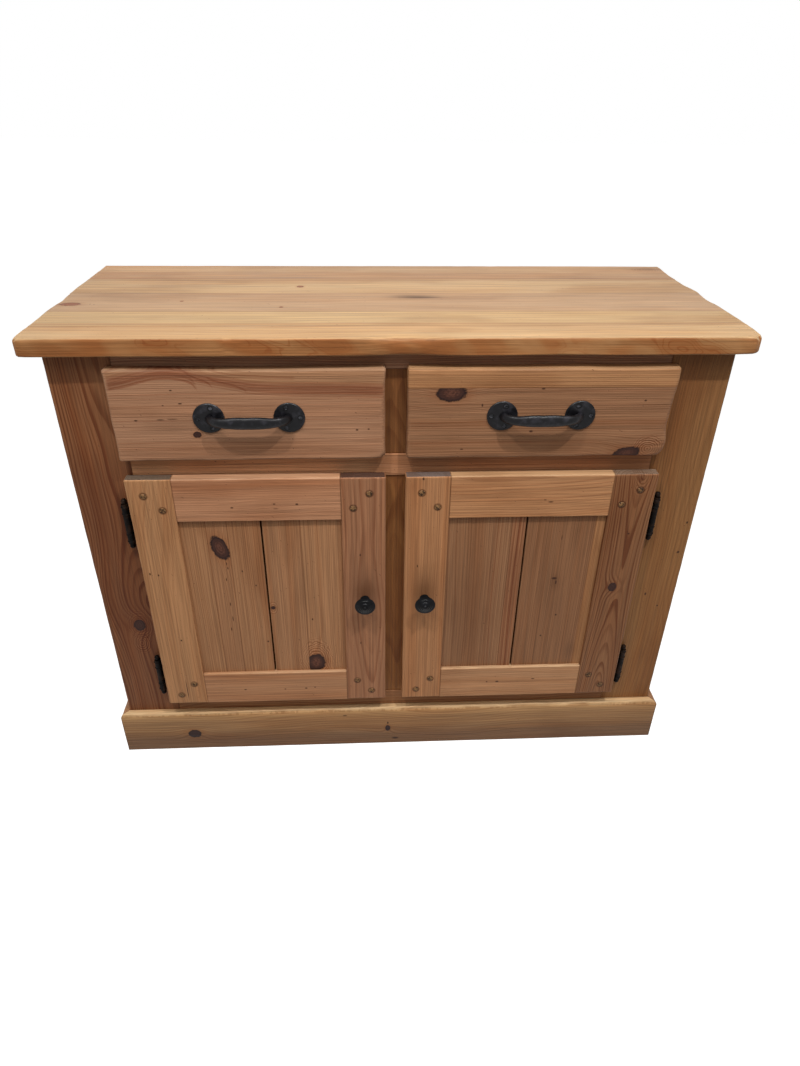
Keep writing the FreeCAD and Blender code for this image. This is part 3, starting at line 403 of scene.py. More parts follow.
def with_smears(g, wood, point, figure, smears, pegs):
    """Dark handling marks, and the dark gap round each peg."""
    for smear in smears:
        blot = laid(g, KNOT, point, smear, Turn=0.0, Pull=1.0)
        dark = g.times(blot["Bend"], g.step(figure["Streak"], 0.25, 0.65, 0.5, 1.0), smear[4])
        wood = g.dim(dark, wood, SMEARED_WOOD)
    for peg in pegs:
        away = g.length(*[g.minus(part, at) for part, at in zip(point, peg)])
        wood = g.dim(g.times(g.fall(away, *PEG_GAP), 0.9), wood, PEG_GAP_WOOD)
    return wood


def with_specks(g, wood, point, seed, face, share):
    """The wood with small dark specks in a share of its cells, and where they are."""
    along, across = point
    jitter = g.times(g.add(g.noise(g.join(along, across, float(seed)), 160.0, 2.0), -0.5), 0.16)
    spot = g.join(g.add(g.times(along, 14.0), jitter, float(seed)), g.minus(g.times(across, 24.0), jitter), 0.0)
    cells = g.node("TexVoronoi", {"Vector": spot}, voronoi_dimensions="2D").outputs
    chance = g.node("SeparateColor", {0: cells["Color"]}).outputs
    size = g.times(chance[1], chance[1], 0.034)
    near = g.fall(cells["Distance"], g.add(size, 0.006), g.add(size, 0.024))
    speck = g.times(near, face, g.above(chance[0], 1.0 - share))
    return g.mix(g.times(speck, 0.88), wood, linear(SPECK_COLOUR)), speck


def with_flank(g, wood, place, side_face, factors):
    """The long narrow faces and the ends in their own tone, with blotches and swirls."""
    wood = g.dim(side_face, wood, factors)
    lean = g.times(place[2], 0.8)
    spot = g.join(g.times(g.add(place[0], lean), 15.0), g.times(g.add(place[1], lean), 15.0), g.times(place[2], 19.0))
    blotch = g.noise(spot, 1.0, 1.6)
    wood = g.dim(g.times(side_face, g.step(blotch, 0.42, 0.60), 0.90), wood, (0.88, 0.72, 0.60))
    wood = g.dim(g.times(side_face, g.fall(blotch, 0.34, 0.46), 0.80), wood, (1.14, 1.22, 1.30))
    swirl = g.step(g.math("SINE", g.times(blotch, 80.0)), 0.55, 1.0)
    where = g.step(g.noise(spot, 0.45, 0.0), 0.50, 0.62)
    return g.dim(g.times(side_face, swirl, where, 0.7), wood, (0.80, 0.64, 0.54))


def pine(name, colour, along, across, seed, ring=0.0042, pith=(0.0, -0.07), bow=(0.0, 0.0), wander=1.0,
         contrast=0.75, bands=0.6, knots=(), waves=(), smears=(), strips=(), pegs=(), boards=None, specks=0.35,
         rough=0.52, edge=(0.84, 0.82, 0.80), worn=0.40, flank=None, fades=(), veins=(), ripples=(), marks=(),
         up_face_light=None, joints=0.75, knot_tone=(1.0, 1.0, 1.0), chips=0.0):
    """Waxed old pine. along and across name the axes of the grain and of the board's face.
    knots: (along, across, half along, half across, turn in degrees, pull on the rings in metres)
    waves: (along, across, half along, half across, pull), where the rings swell without a knot
    smears: (along, across, half along, half across, strength), dark handling marks
    strips: (place across, factors on the colour beyond it), for boards glued up from strips
    pegs: (along, across) of each peg that has a dark gap round it
    boards: (where the first of several equal boards starts, and their width)
    bow: (curve, along) of the pith's depth, which draws arches along the board
    flank: factors on the colour of the long narrow faces, which are blotched then
    fades: (axis, start, end, factors), a slow change of tone along an axis
    veins: (points, bands, factors above), dark bands that follow a curve of (along, across) points,
        each band with its offset from the curve, half width and strength
    ripples: (along, across, half along, half across, strength), close rings round a place
    marks: (along, across, half along, half across), worm holes and bruises
    crown: factors on the faces that look up, for painted light where they are paler and painted shade where darker
    joints: how dark the dirt in the joints is; knot_tone: factors on the knots
    chips: how dark the small chips along the upper arris are"""
    material, g, shader = new_material(name)
    base = linear(colour)
    coordinates = g.node("TexCoord").outputs
    place, normal = g.split(coordinates["Object"]), g.split(coordinates["Normal"])
    depth_axis = ({0, 1, 2} - {AXES[along], AXES[across]}).pop()
    l, a, d = place[AXES[along]], place[AXES[across]], place[depth_axis]
    point = (l, a)

    # Rings, patches and fibres, which bend round the knots and differ from board to board
    shift = float(seed)
    tone = None
    if boards:
        start, width = boards
        index = g.math("FLOOR", g.math("DIVIDE", g.minus(a, start), width))
        pick = g.node("TexWhiteNoise", {"Vector": g.join(index, float(seed), 0.0)}, noise_dimensions="3D")
        tone = pick.outputs["Value"]
        shift = g.add(float(seed), g.times(tone, 9.0))
    for number, (border, _) in enumerate(strips):
        shift = g.add(shift, g.times(g.above(a, border), 3.7 + number))
    kept = []
    for knot in knots:
        made = laid(g, KNOT, point, knot, Turn=math.radians(knot[4]), Pull=knot[5])
        keep = within_strip(g, a, knot, strips)
        kept.append({part: g.times(made[part], keep) for part in KNOT_PARTS})
    swells = [laid(g, KNOT, point, wave, Turn=0.0, Pull=wave[4]) for wave in waves]
    bends = [one["Bend"] for one in kept + swells]
    from_bow = g.minus(l, bow[1])
    pith_depth = g.add(pith[1], g.times(from_bow, from_bow, bow[0]))
    figure = g.group(
        FIGURE, Along=l, Across=a, Depth=d, Ring=ring, Pith_Across=pith[0], Pith_Depth=pith_depth, Wander=wander,
        Seed=shift, Bend=g.add(*bends) if bends else 0.0)
    late = g.times(figure["Late"], g.step(figure["Cloud"], 0.2, 0.7, 0.6, 1.0), contrast)
    wood = g.mix(late, scaled(base, LIGHT_WOOD), scaled(base, LATE_WOOD))
    wood = g.dim(g.step(figure["Band"], 0.47, 0.70, 0.0, bands), wood, TINTED_WOOD)
    wood = g.dim(g.step(figure["Patch"], 0.45, 0.70, 0.0, 0.6), wood, TINTED_WOOD)
    grain = g.add(g.times(figure["Fibre"], 0.34), g.times(figure["Streak"], 1.16), 0.25)
    wood = g.mix(1.0, wood, g.join(grain, grain, grain), "MULTIPLY")
    wood = g.dim(g.step(figure["Stain"], 0.50, 0.72, 0.0, 0.65), wood, STAINED_WOOD)
    if tone is not None:
        shade = g.add(g.times(tone, 0.36), 0.80)
        wood = g.mix(1.0, wood, g.join(shade, g.math("POWER", shade, 1.5), g.times(shade, shade)), "MULTIPLY")
    wood = with_strips(g, wood, a, strips)
    wood = with_veins(g, wood, point, figure, veins)
    wood = with_ripples(g, wood, point, figure, ripples)

    # Wear with a painted highlight on the arrises, dirt, knots and marks
    worn_and_highlit_edge = g.node("Attribute", attribute_name="worn").outputs["Fac"]
    seam = g.node("Attribute", attribute_name="seam").outputs["Fac"]
    # The arrises are paler: partly real wear, partly a painted highlight
    rubbed_and_highlit = g.times(worn_and_highlit_edge, g.step(figure["Cloud"], 0.35, 0.62), worn)
    wood = g.mix(rubbed_and_highlit, wood, scaled(base, RUBBED_AND_HIGHLIT_WOOD))
    wood = g.dim(g.times(seam, joints), wood, JOINT_DIRT)
    wood, core = with_knots(g, wood, point, kept, seed, knot_tone)
    wood = with_smears(g, wood, point, figure, smears, pegs)
    face = g.above(g.size(normal[depth_axis]), 0.7)
    if specks:
        wood, speck = with_specks(g, wood, point, seed, face, specks)
    for mark in marks:
        wood = g.mix(g.times(laid(g, MARK, point, mark)["Mark"], face, 0.9), wood, linear(SPECK_COLOUR))

    # Tones of the ends and the flanks, and painted light and shade on what looks up
    end_face = g.step(g.size(normal[AXES[along]]), 0.72, 0.95)
    wood = g.dim(end_face, wood, edge)
    if flank:
        side_face = g.most(g.step(g.size(normal[AXES[across]]), 0.55, 0.85), end_face)
        wood = with_flank(g, wood, place, side_face, flank)
    for axis, start, end, factors in fades:
        share = g.step(place[AXES[axis]], min(start, end), max(start, end))
        if start > end:
            share = g.minus(1.0, share)
        wood = g.dim(share, wood, factors)
    # Painted light and shade on the faces that look up: paler on the door rails and plinth, darker on the drawer
    # fronts
    if up_face_light:
        wood = g.dim(g.step(normal[2], 0.30, 0.75), wood, up_face_light)
    if chips:
        row = g.times(g.step(normal[2], 0.22, 0.34), g.fall(normal[2], 0.50, 0.66))
        torn = g.noise(g.join(g.times(l, 150.0), g.times(place[2], 90.0), float(seed)), 1.0, 1.0)
        torn = g.times(row, g.step(torn, 0.46, 0.60), g.step(figure["Patch"], 0.42, 0.56), chips)
        wood = g.dim(torn, wood, TORN_WOOD)

    roughness = g.add(g.times(figure["Streak"], 0.24), g.times(figure["Cloud"], 0.16), g.times(rubbed_and_highlit, -0.08))
    roughness = g.add(roughness, g.times(end_face, 0.12), rough - 0.20)
    height = g.add(
        g.times(figure["Late"], 0.22), g.times(figure["Fibre"], 0.14), g.times(figure["Streak"], 0.45),
        g.times(figure["Cloud"], 0.4), g.times(core, 0.3))
    if specks:
        height = g.minus(height, g.times(speck, 0.8))
    surface(g, shader, wood, roughness, 0.16, height, 0.6, 0.0012)
    return material


def iron(name, light, dark, rough, hammered, gloss, pits=()):
    """Blackened iron: hammer marks, a little bare metal on what is touched, soft gloss.
    pits: (distance from the middle plane, height) of screws that sit deep, with painted shade round them"""
    material, g, shader = new_material(name)
    place = g.node("TexCoord").outputs["Object"]
    dents = g.node("TexVoronoi", {"Vector": place, "Scale": 190.0}, feature="SMOOTH_F1").outputs["Distance"]
    grit = g.noise(place, 900.0, 3.0)
    wear = g.step(g.noise(place, 75.0, 3.0), 0.48, 0.72)
    colour = g.mix(wear, linear(dark), linear(light))
    x, _, z = g.split(place)
    # Painted shade round each deep screw
    for at_x, at_z in pits:
        away = g.length(g.minus(g.size(x), at_x), g.minus(z, at_z))
        colour = g.dim(g.fall(away, *PIT_SHADE_RADII, 0.97), colour, PAINTED_PIT_SHADE)
    roughness = g.add(g.times(grit, 0.16), g.times(wear, -0.08), rough)
    height = g.add(g.times(dents, hammered), g.times(grit, 0.12))
    surface(g, shader, colour, roughness, gloss, height, 0.6, 0.0008)
    return material


def cloudy(name, light, dark, rough, metallic=0.0, scale=300.0):
    """A small part's wood end, metal or plastic, with a fine cloudy finish."""
    material, g, shader = new_material(name)
    cloud = g.noise(g.node("TexCoord").outputs["Object"], scale, 3.0)
    colour = g.mix(g.step(cloud, 0.35, 0.65), linear(dark), linear(light))
    shader.inputs["Metallic"].default_value = metallic
    surface(g, shader, colour, g.add(g.times(cloud, 0.2), rough), 0.18, cloud, 0.4, 0.0006)
    return material


# Boards as meshes

def wander(seed, place, pitches):
    """Smooth noise of about -1 to 1, with its pitch along each axis in metres."""
    spots = [part / pitch for part, pitch in zip(place, pitches)]
    return noise.noise(Vector((spots[0] + seed * 17.3, spots[1] + seed * 5.7, spots[2] - seed * 11.9)))


def along_table(table, place):
    """A value from (place, value) pairs, eased between them."""
    if place <= table[0][0]:
        return table[0][1]
    for (low, first), (high, second) in zip(table, table[1:]):
        if place <= high:
            share = (place - low) / (high - low)
            return first + (second - first) * share * share * (3 - 2 * share)
    return table[-1][1]


def grid_lines(low, high, radius_low, radius_high, gap):
    """Grid lines across a board: close together over a rounded arris, evenly spaced between."""
    lines = [low, high]
    limit = (high - low) * 0.42
    inner = []
    for edge, inward, radius in ((low, 1, radius_low), (high, -1, radius_high)):
        reach = min(radius * 1.5, limit)
        lines += [edge + inward * reach * (1 - math.tan(math.radians(angle))) for angle in (33.75, 22.5, 11.25)]
        inner.append(edge + inward * min(reach + 0.0012, limit * 1.1))
    count = max(1, math.ceil((inner[1] - inner[0]) / gap))
    lines += [inner[0] + (inner[1] - inner[0]) * index / count for index in range(count + 1)]
    return sorted(lines)


PAIRS = ((0, 1), (1, 2), (2, 0))
NO_ARRIS = 0.0006
SEAM_REACH = 0.0016
ARRIS_PITCHES = (0.022, 0.022, 0.022)


def shaped(place, low, high, arris, seed, dish, pitches, spots):
    """Where a point of the plain box goes on the worn board, and how near it is to an arris or a joint."""
    sides = []
    moved = list(place)
    for axis in range(3):
        upper = place[axis] - low[axis] > high[axis] - place[axis]
        away = high[axis] - place[axis] if upper else place[axis] - low[axis]
        sides.append((upper, away, arris[axis][upper]))
        if away < 1e-6 and arris[axis][upper] > NO_ARRIS:
            slow = wander(seed + axis * 0.31, place, pitches)
            quick = wander(seed + 7 + axis * 0.31, place, [pitch * 0.35 for pitch in pitches])
            moved[axis] += (-dish if upper else dish) * (0.5 + 0.5 * slow + 0.2 * quick)
    worn = 0.0
    seam = 0.0
    extra = 0.0
    for at, reach, depth in spots:
        extra += depth * math.exp(-((Vector(place) - Vector(at)).length / reach) ** 2)
    for first, second in PAIRS:
        near, far = sides[first], sides[second]
        radius = min(near[2], far[2])
        gap = max(near[1], far[1])
        if radius < NO_ARRIS:
            seam = max(seam, 1 - gap / SEAM_REACH)
            continue
        worn = max(worn, 1 - gap / (radius * 2.4))
        radius = radius * (1 + 0.45 * wander(seed + 3, place, ARRIS_PITCHES)) + extra
        if near[1] >= radius or far[1] >= radius:
            continue
        u = radius - near[1]
        v = radius - far[1]
        ease = max(u, v) / math.hypot(u, v)
        for axis, side, span in ((first, near, u), (second, far, v)):
            moved[axis] += (-1 if side[0] else 1) * span * (1 - ease)
    return moved, max(0.0, worn), max(0.0, seam)


def new_object(name, data):
    made = bpy.data.objects.new(name, data)
    bpy.context.scene.collection.objects.link(made)
    return made


def mesh_object(name, points, faces):
    mesh = bpy.data.meshes.new(name)
    mesh.from_pydata(points, [], faces)
    return new_object(name, mesh)


def solid_board(name, low, high, arris, seed, gap=0.007, dish=0.0004, grain=0, spots=(), shape=None):
    """The mesh of a board from a fine box grid: worn arrises, hollows along the grain, then its own shape."""
    lines = []
    for axis in range(3):
        spacing = gap * 1.5 if axis == grain else gap
        lines.append(grid_lines(low[axis], high[axis], arris[axis][0], arris[axis][1], spacing))
    pitches = [0.05, 0.05, 0.05]
    pitches[grain] = 0.24
    index = {}
    points, worn, seams, faces = [], [], [], []

    def corner(cell):
        if cell not in index:
            index[cell] = len(points)
            place = [lines[axis][cell[axis]] for axis in range(3)]
            moved, rub_and_highlight, seam = shaped(place, low, high, arris, seed, dish, pitches, spots)
            points.append(shape(moved) if shape else moved)
            worn.append(rub_and_highlight)
            seams.append(seam)
        return index[cell]

    for axis, (first, second) in enumerate(((1, 2), (2, 0), (0, 1))):
        for end in (0, len(lines[axis]) - 1):
            for i in range(len(lines[first]) - 1):
                for j in range(len(lines[second]) - 1):
                    ring = []
                    for step_i, step_j in ((0, 0), (1, 0), (1, 1), (0, 1)):
                        cell = [0, 0, 0]
                        cell[axis], cell[first], cell[second] = end, i + step_i, j + step_j
                        ring.append(corner(tuple(cell)))
                    faces.append(ring if end else ring[::-1])
    piece = mesh_object(name, points, faces)
    # Nearness to an arris, which is painted paler for wear and a highlight, and to a joint
    for label, values in (("worn", worn), ("seam", seams)):
        piece.data.attributes.new(label, "FLOAT", "POINT").data.foreach_set("value", values)
    piece.data.shade_smooth()
    return piece


def seat(piece, node, body, material):
    """Puts a finished piece in a CAD node's place."""
    piece.data.materials.append(material)
    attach(piece, body)
    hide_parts(node)


def board(node, body, slot, material, arris, x=None, y=None, z=None, **shaping):
    """A worn board in the place of a CAD board; x, y and z change its extent where tenons are hidden."""
    low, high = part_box(node)
    low, high = list(low), list(high)
    for axis, span in enumerate((x, y, z)):
        if span:
            low[axis], high[axis] = span
    seat(solid_board(node + "_board", low, high, arris, **shaping), node, body, material)


SLAB_FLANK = (0.70, 0.51, 0.38)
UPRIGHT = {"along": "Z", "across": "X"}
LEVEL = {"along": "X", "across": "Z"}
FLAT = {"along": "X", "across": "Y"}


# The slab: five boards with one waney outline
FRONT_WANE = (
    (-0.55, 0.0), (-0.44, 0.0012), (-0.26, 0.0002), (-0.245, 0.0018), (-0.22, 0.0004), (-0.06, 0.001), (0.01, 0.0042),
    (0.085, 0.0006), (0.25, 0.0016), (0.4, 0.0004), (0.55, 0.0))
LEFT_WANE = (
    (-0.221, 0.0), (-0.15, 0.0012), (-0.06, 0.0), (-0.014, 0.0036), (0.056, 0.0002), (0.145, 0.001), (0.2488, 0.002))
RIGHT_WANE = (
    (-0.221, 0.0), (-0.12, 0.0), (-0.05, 0.0012), (-0.007, 0.005), (0.05, 0.0004), (0.105, 0.007), (0.17, 0.007),
    (0.2488, 0.002))
LEFT_CORNER = 0.011
RIGHT_CORNER = 0.020
WANE_FADE = 0.045


def slab_shape(place):
    """The waney outline of the whole slab, at any point of one of its boards."""
    x, y, z = place
    corner = RIGHT_CORNER if x > 0 else LEFT_CORNER
    u = corner - (SLAB_HALF - abs(x))
    v = corner - (y - SLAB_FRONT)
    if u > 0 and v > 0:
        ease = 1 - max(u, v) / math.hypot(u, v)
        x -= math.copysign(u * ease, x)
        y += v * ease
    fade = max(0.0, 1 - (SLAB_HALF - abs(x)) / WANE_FADE)
    x -= math.copysign(along_table(RIGHT_WANE if x > 0 else LEFT_WANE, y) * fade * fade, x)
    fade = max(0.0, 1 - (y - SLAB_FRONT) / WANE_FADE)
    y += along_table(FRONT_WANE, x) * fade * fade
    return (x, y, z)


def lengthwise(y, strength):
    """A soft red band along a top board, beside a glue joint."""
    return ((((-SLAB_HALF, y), (SLAB_HALF, y)), ((0.0, 0.005, strength),), None),)


def slab():
    plain = {
        **FLAT,
        "ring": 0.012,
        "contrast": 0.26,
        "wander": 0.8,
        "bands": 0.35,
        "flank": SLAB_FLANK,
        "joints": 0.6,
        "knot_tone": (7.0, 7.0, 4.7),
        # How much paler the arrises are, from wear and a painted highlight
        "worn": 0.22,
    }
    looks = (
        pine("top_1", (178, 144, 104), **plain, seed=1, pith=(-0.05, 0.74), veins=lengthwise(-0.157, 0.35)),
        pine("top_2", (172, 140, 100), **plain, seed=2, pith=(-0.28, 0.76), veins=lengthwise(-0.149, 0.6)),
        pine(
            "top_3", (165, 132, 100), **plain, seed=3, pith=(0.14, 0.77),
            knots=(
                (-0.525, -0.034, 0.017, 0.0085, 0, 0.006), (-0.349, -0.016, 0.003, 0.003, 0, 0.002),
                (-0.182, -0.053, 0.003, 0.004, 0, 0.002)),
            smears=((0.036, 0.011, 0.016, 0.005, 1.0), (0.06, 0.008, 0.012, 0.0026, 0.9)),
            waves=((0.05, 0.0, 0.1, 0.02, 0.008),),
            marks=((-0.493, -0.034, 0.0016, 0.0016), (-0.486, -0.037, 0.0012, 0.0016))),
        pine(
            "top_4", (178, 145, 107), **plain, seed=4, pith=(0.22, 0.75), veins=lengthwise(0.128, 0.45),
            knots=((-0.16, 0.082, 0.006, 0.006, 0, 0.004),)),
        pine(
            "top_5", (168, 132, 98), **plain, seed=5, pith=(0.04, 0.76), veins=lengthwise(0.144, 0.65),
            ripples=((0.518, 0.214, 0.034, 0.022, 0.8),), strips=((0.19, (1.1, 1.12, 1.12)),),
            smears=((0.519, 0.222, 0.016, 0.004, 0.6),), fades=(("X", -0.2, -0.5, (1.18, 1.16, 1.12)),)))
    hollows = (
        (-0.03, 0.026, 0.003), (0.002, 0.028, 0.008), (0.03, 0.028, 0.006), (0.06, 0.026, 0.003), (0.545, 0.03, 0.006),
        (-0.548, 0.02, 0.003), (0.25, 0.05, 0.0015), (-0.248, 0.007, 0.005))
    wane = [((x, SLAB_FRONT, SLAB_TOP), reach, depth) for x, reach, depth in hollows]
    for number, material in enumerate(looks):
        node = "top_board_" + str(number + 1)
        front = 0.0035 if number == 0 else JOINT
        back = 0.0030 if number == 4 else JOINT
        board(
            node, "carcass", "top_pine", material, ((0.0032, 0.0032), (front, back), (0.002, 0.0036)),
            x=(-SLAB_HALF, SLAB_HALF), seed=number + 1, gap=0.006, dish=0.0005, spots=wane, shape=slab_shape)


# The face frame, the plinth and the carcass

def face_frame():
    looks = {
        "left_stile": pine(
            "stile_left", (118, 75, 48), **UPRIGHT, seed=6, pith=(-0.44, -0.26), ring=0.0034, contrast=1.7, bands=0.8,
            specks=0.25, fades=(("Z", 0.6, 0.7, (1.3, 1.4, 1.42)),),
            knots=((0.311, -0.466, 0.0125, 0.0105, 0, 0.012),),
            ripples=((0.311, -0.466, 0.034, 0.024, 0.9), (0.269, -0.469, 0.026, 0.018, 0.9))),
        "right_stile": pine(
            "stile_right", (138, 96, 58), **UPRIGHT, seed=7, pith=(0.56, -0.3), ring=0.0036, contrast=0.5, specks=0.5,
            fades=(("Z", 0.5, 0.7, (0.86, 0.84, 0.84)),),
            marks=(
                (0.36, 0.467, 0.004, 0.0022), (0.452, 0.509, 0.003, 0.003), (0.514, 0.512, 0.003, 0.002),
                (0.332, 0.495, 0.002, 0.002))),
        "top_rail": pine("rail_top", (158, 119, 93), **LEVEL, seed=8, specks=0.95),
        "mid_rail": pine(
            "rail_middle", (167, 117, 82), **LEVEL, seed=9, ring=0.003, specks=0.6,
            # painted light: lighter to the left of the middle
            fades=(("X", -0.02, -0.06, (1.44, 1.58, 1.66)),)),
        "bottom_rail": pine("rail_bottom", (141, 96, 62), **LEVEL, seed=10),
        "upper_muntin": pine("muntin_upper", (115, 73, 40), **UPRIGHT, seed=11),
        "lower_muntin": pine("muntin_lower", (130, 84, 45), **UPRIGHT, seed=12),
    }
    inner = (-STILE_INNER, STILE_INNER)
    plain, joint = (0.002, 0.002), (JOINT, JOINT)
    for node, x, arris, grain in (
        ("left_stile", None, ((0.0032, 0.0012), plain, joint), 2),
        ("right_stile", None, ((0.0012, 0.0032), plain, joint), 2),
        ("top_rail", inner, (joint, plain, (0.0016, JOINT)), 0),
        ("mid_rail", inner, (joint, plain, (0.0016, 0.0016)), 0),
        ("bottom_rail", inner, (joint, plain, (0.0016, 0.0016)), 0)):
        board(
            node, "carcass", "stile_pine" if grain == 2 else "rail_pine", looks[node], arris, x=x, seed=20 + len(node),
            grain=grain)
    for node, z in (("upper_muntin", (0.6525, 0.795)), ("lower_muntin", (0.132, 0.6135))):
        board(node, "carcass", "rail_pine", looks[node], ((0.0016, 0.0016), plain, joint), z=z, seed=41, grain=2)


MITRE_X, MITRE_Y = 0.50, -0.16    # the plinth's boards keep their grid up to here


def mitred_front(place):
    x, y, z = place
    length = PLINTH_INNER + FRAME_FACE - y
    beyond = abs(x) - MITRE_X
    if beyond > 0:
        x = math.copysign(MITRE_X + beyond * (length - MITRE_X) / (PLINTH_OUTER - MITRE_X), x)
    return (x, y, z)


def mitred_return(place):
    x, y, z = place
    start = FRAME_FACE - (abs(x) - PLINTH_INNER)
    front = FRAME_FACE - (PLINTH_OUTER - PLINTH_INNER)
    ahead = MITRE_Y - y
    if ahead > 0:
        y = MITRE_Y - ahead * (MITRE_Y - start) / (MITRE_Y - front)
    return (x, y, z)


def plinth():
    front = pine(
        "plinth", (171, 130, 87), **LEVEL, seed=13, pith=(0.13, -0.27), contrast=0.7,
        knots=((-0.399, 0.042, 0.013, 0.01, 0, 0.01), (-0.011, 0.043, 0.005, 0.008, 0, 0.006)),
        # painted light: its faces that look up are paler
        fades=(("Z", 0.088, 0.07, (0.74, 0.72, 0.74)), ("Z", 0.06, 0.02, (0.58, 0.58, 0.68))), up_face_light=(1.3, 1.54, 1.86),
        chips=0.45,
        marks=((-0.097, 0.081, 0.005, 0.0015), (-0.011, 0.058, 0.002, 0.004), (0.004, 0.014, 0.008, 0.003)))
    board(
        "plinth_front", "carcass", "plinth_pine", front,
        ((JOINT, JOINT), (PLINTH_ROUND, JOINT), (0.0012, PLINTH_ROUND)), seed=51, dish=0.0009, shape=mitred_front,
        spots=(((0.42, -0.21, 0.098), 0.04, 0.003),))
    side = pine("plinth_side", (150, 110, 78), along="Y", across="Z", seed=14, pith=(0.10, 0.50))
    low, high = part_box("plinth_returns")
    returns = (((low.x, -PLINTH_INNER), (PLINTH_ROUND, JOINT)), ((PLINTH_INNER, high.x), (JOINT, PLINTH_ROUND)))
    for number, (x, arris) in enumerate(returns):
        piece = solid_board(
            "plinth_return_board_" + str(number), (x[0], low.y, low.z), (x[1], high.y, high.z),
            (arris, (JOINT, 0.002), (0.0012, PLINTH_ROUND)), seed=52 + number, dish=0.0006, grain=1,
            shape=mitred_return)
        seat(piece, "plinth_returns", "carcass", side)


# Drawers: how far each edge of a front is pushed in at most, and its share at even steps along the edge

DRAWER_OUTLINES = {
    "left": {
        "bottom": (0.0022, (0.0, 0.5, 0.2, 0.7, 0.3, 0.0)),
        "right": (0.0022, (0.0, 0.3, 0.1, 0.4, 0.0)),
        "top": (0.0022, (0.0, 0.3, 0.9, 0.6, 0.2, 0.0)),
        "left": (0.0022, (0.0, 0.3, 0.1, 0.3, 0.0)),
    },
    "right": {
        "bottom": (0.0022, (0.0, 0.4, 0.1, 0.5, 0.8, 0.0)),
        "right": (0.004, (0.5, 0.05, 0.85, 0.25, 0.15, 0.0, 0.25)),
        "top": (0.0022, (0.0, 0.2, 0.4, 0.1, 0.5, 0.0)),
        "left": (0.0022, (0.0, 0.1, 0.4, 0.2, 0.0)),
    },
}


def drawer_shape(low, high, outline):
    """Pushes the front's edges in along its natural outline; the tables run up and to the right."""
    tables = {}
    for side, (depth, shares) in outline.items():
        start, end = (low[2], high[2]) if side in ("left", "right") else (low[0], high[0])
        last = len(shares) - 1
        tables[side] = [(start + (end - start) * i / last, depth * share) for i, share in enumerate(shares)]

    def push(place):
        x, y, z = place
        for side, edge, inward in (("left", low[0], 1), ("right", high[0], -1)):
            fade = max(0.0, 1 - abs(x - edge) / OUTLINE_REACH)
            x += inward * along_table(tables[side], z) * fade
        for side, edge, inward in (("bottom", low[2], 1), ("top", high[2], -1)):
            fade = max(0.0, 1 - abs(z - edge) / OUTLINE_REACH)
            z += inward * along_table(tables[side], x) * fade
        return (x, y, z)

    return push


# Painted shade on the drawer fronts' top faces, under the slab
DRAWER_TOP_SHADE = (0.84, 0.92, 0.98)
OUTLINE_REACH = 0.03
SCOOP_LEVEL = 0.7237
SCOOPS = {"left": 0.0042, "right": 0.0085}

# Dark veins of the drawer fronts: the wide one that sweeps over the left front, and hair lines along both
LEFT_DRAWER_VEINS = (
    (
        (
            (-0.431, 0.786), (-0.402, 0.793), (-0.376, 0.799), (-0.347, 0.803), (-0.322, 0.801), (-0.301, 0.795),
            (-0.248, 0.784), (-0.191, 0.776), (-0.094, 0.774), (-0.017, 0.772)),
        (
            (-0.002, 0.0062, 0.95), (-0.0095, 0.003, 0.9), (0.0052, 0.002, 0.6), (-0.0145, 0.0014, 0.5),
            (-0.0005, 0.001, 0.5), (-0.0052, 0.001, 0.5)), (0.96, 0.95, 0.87)),
    (
        (
            (-0.431, 0.772), (-0.405, 0.776), (-0.381, 0.783), (-0.349, 0.789), (-0.324, 0.787), (-0.308, 0.782),
            (-0.3, 0.773), (-0.296, 0.761)), ((0.0, 0.003, 0.9), (0.0064, 0.0036, 0.6)), None),
    (
        ((-0.431, 0.799), (-0.395, 0.806), (-0.345, 0.81), (-0.29, 0.804), (-0.24, 0.794), (-0.15, 0.789)),
        ((0.0, 0.0016, 0.7), (-0.004, 0.001, 0.5)), None),
    (((-0.316, 0.8), (-0.301, 0.79), (-0.28, 0.78), (-0.273, 0.765)), ((0.0, 0.0022, 0.8),), None),
    (((-0.285, 0.792), (-0.267, 0.783), (-0.242, 0.776), (-0.222, 0.765)), ((0.0, 0.002, 0.7),), None),
    (
        ((-0.434, 0.762), (-0.225, 0.763), (-0.016, 0.765)),
        (
            (0.0, 0.0009, 0.6), (-0.017, 0.0008, 0.4), (-0.041, 0.0009, 0.5), (-0.052, 0.0007, 0.35),
            (-0.077, 0.0008, 0.45), (-0.086, 0.0007, 0.4), (-0.096, 0.0008, 0.4)), None))
RIGHT_DRAWER_VEINS = (
    (
        ((0.016, 0.743), (0.225, 0.744), (0.434, 0.742)),
        (
            (0.0, 0.0008, 0.45), (0.016, 0.0007, 0.4), (0.021, 0.0007, 0.4), (-0.028, 0.0009, 0.6),
            (-0.033, 0.0009, 0.6), (-0.044, 0.0007, 0.4), (-0.062, 0.0008, 0.5)), None),)


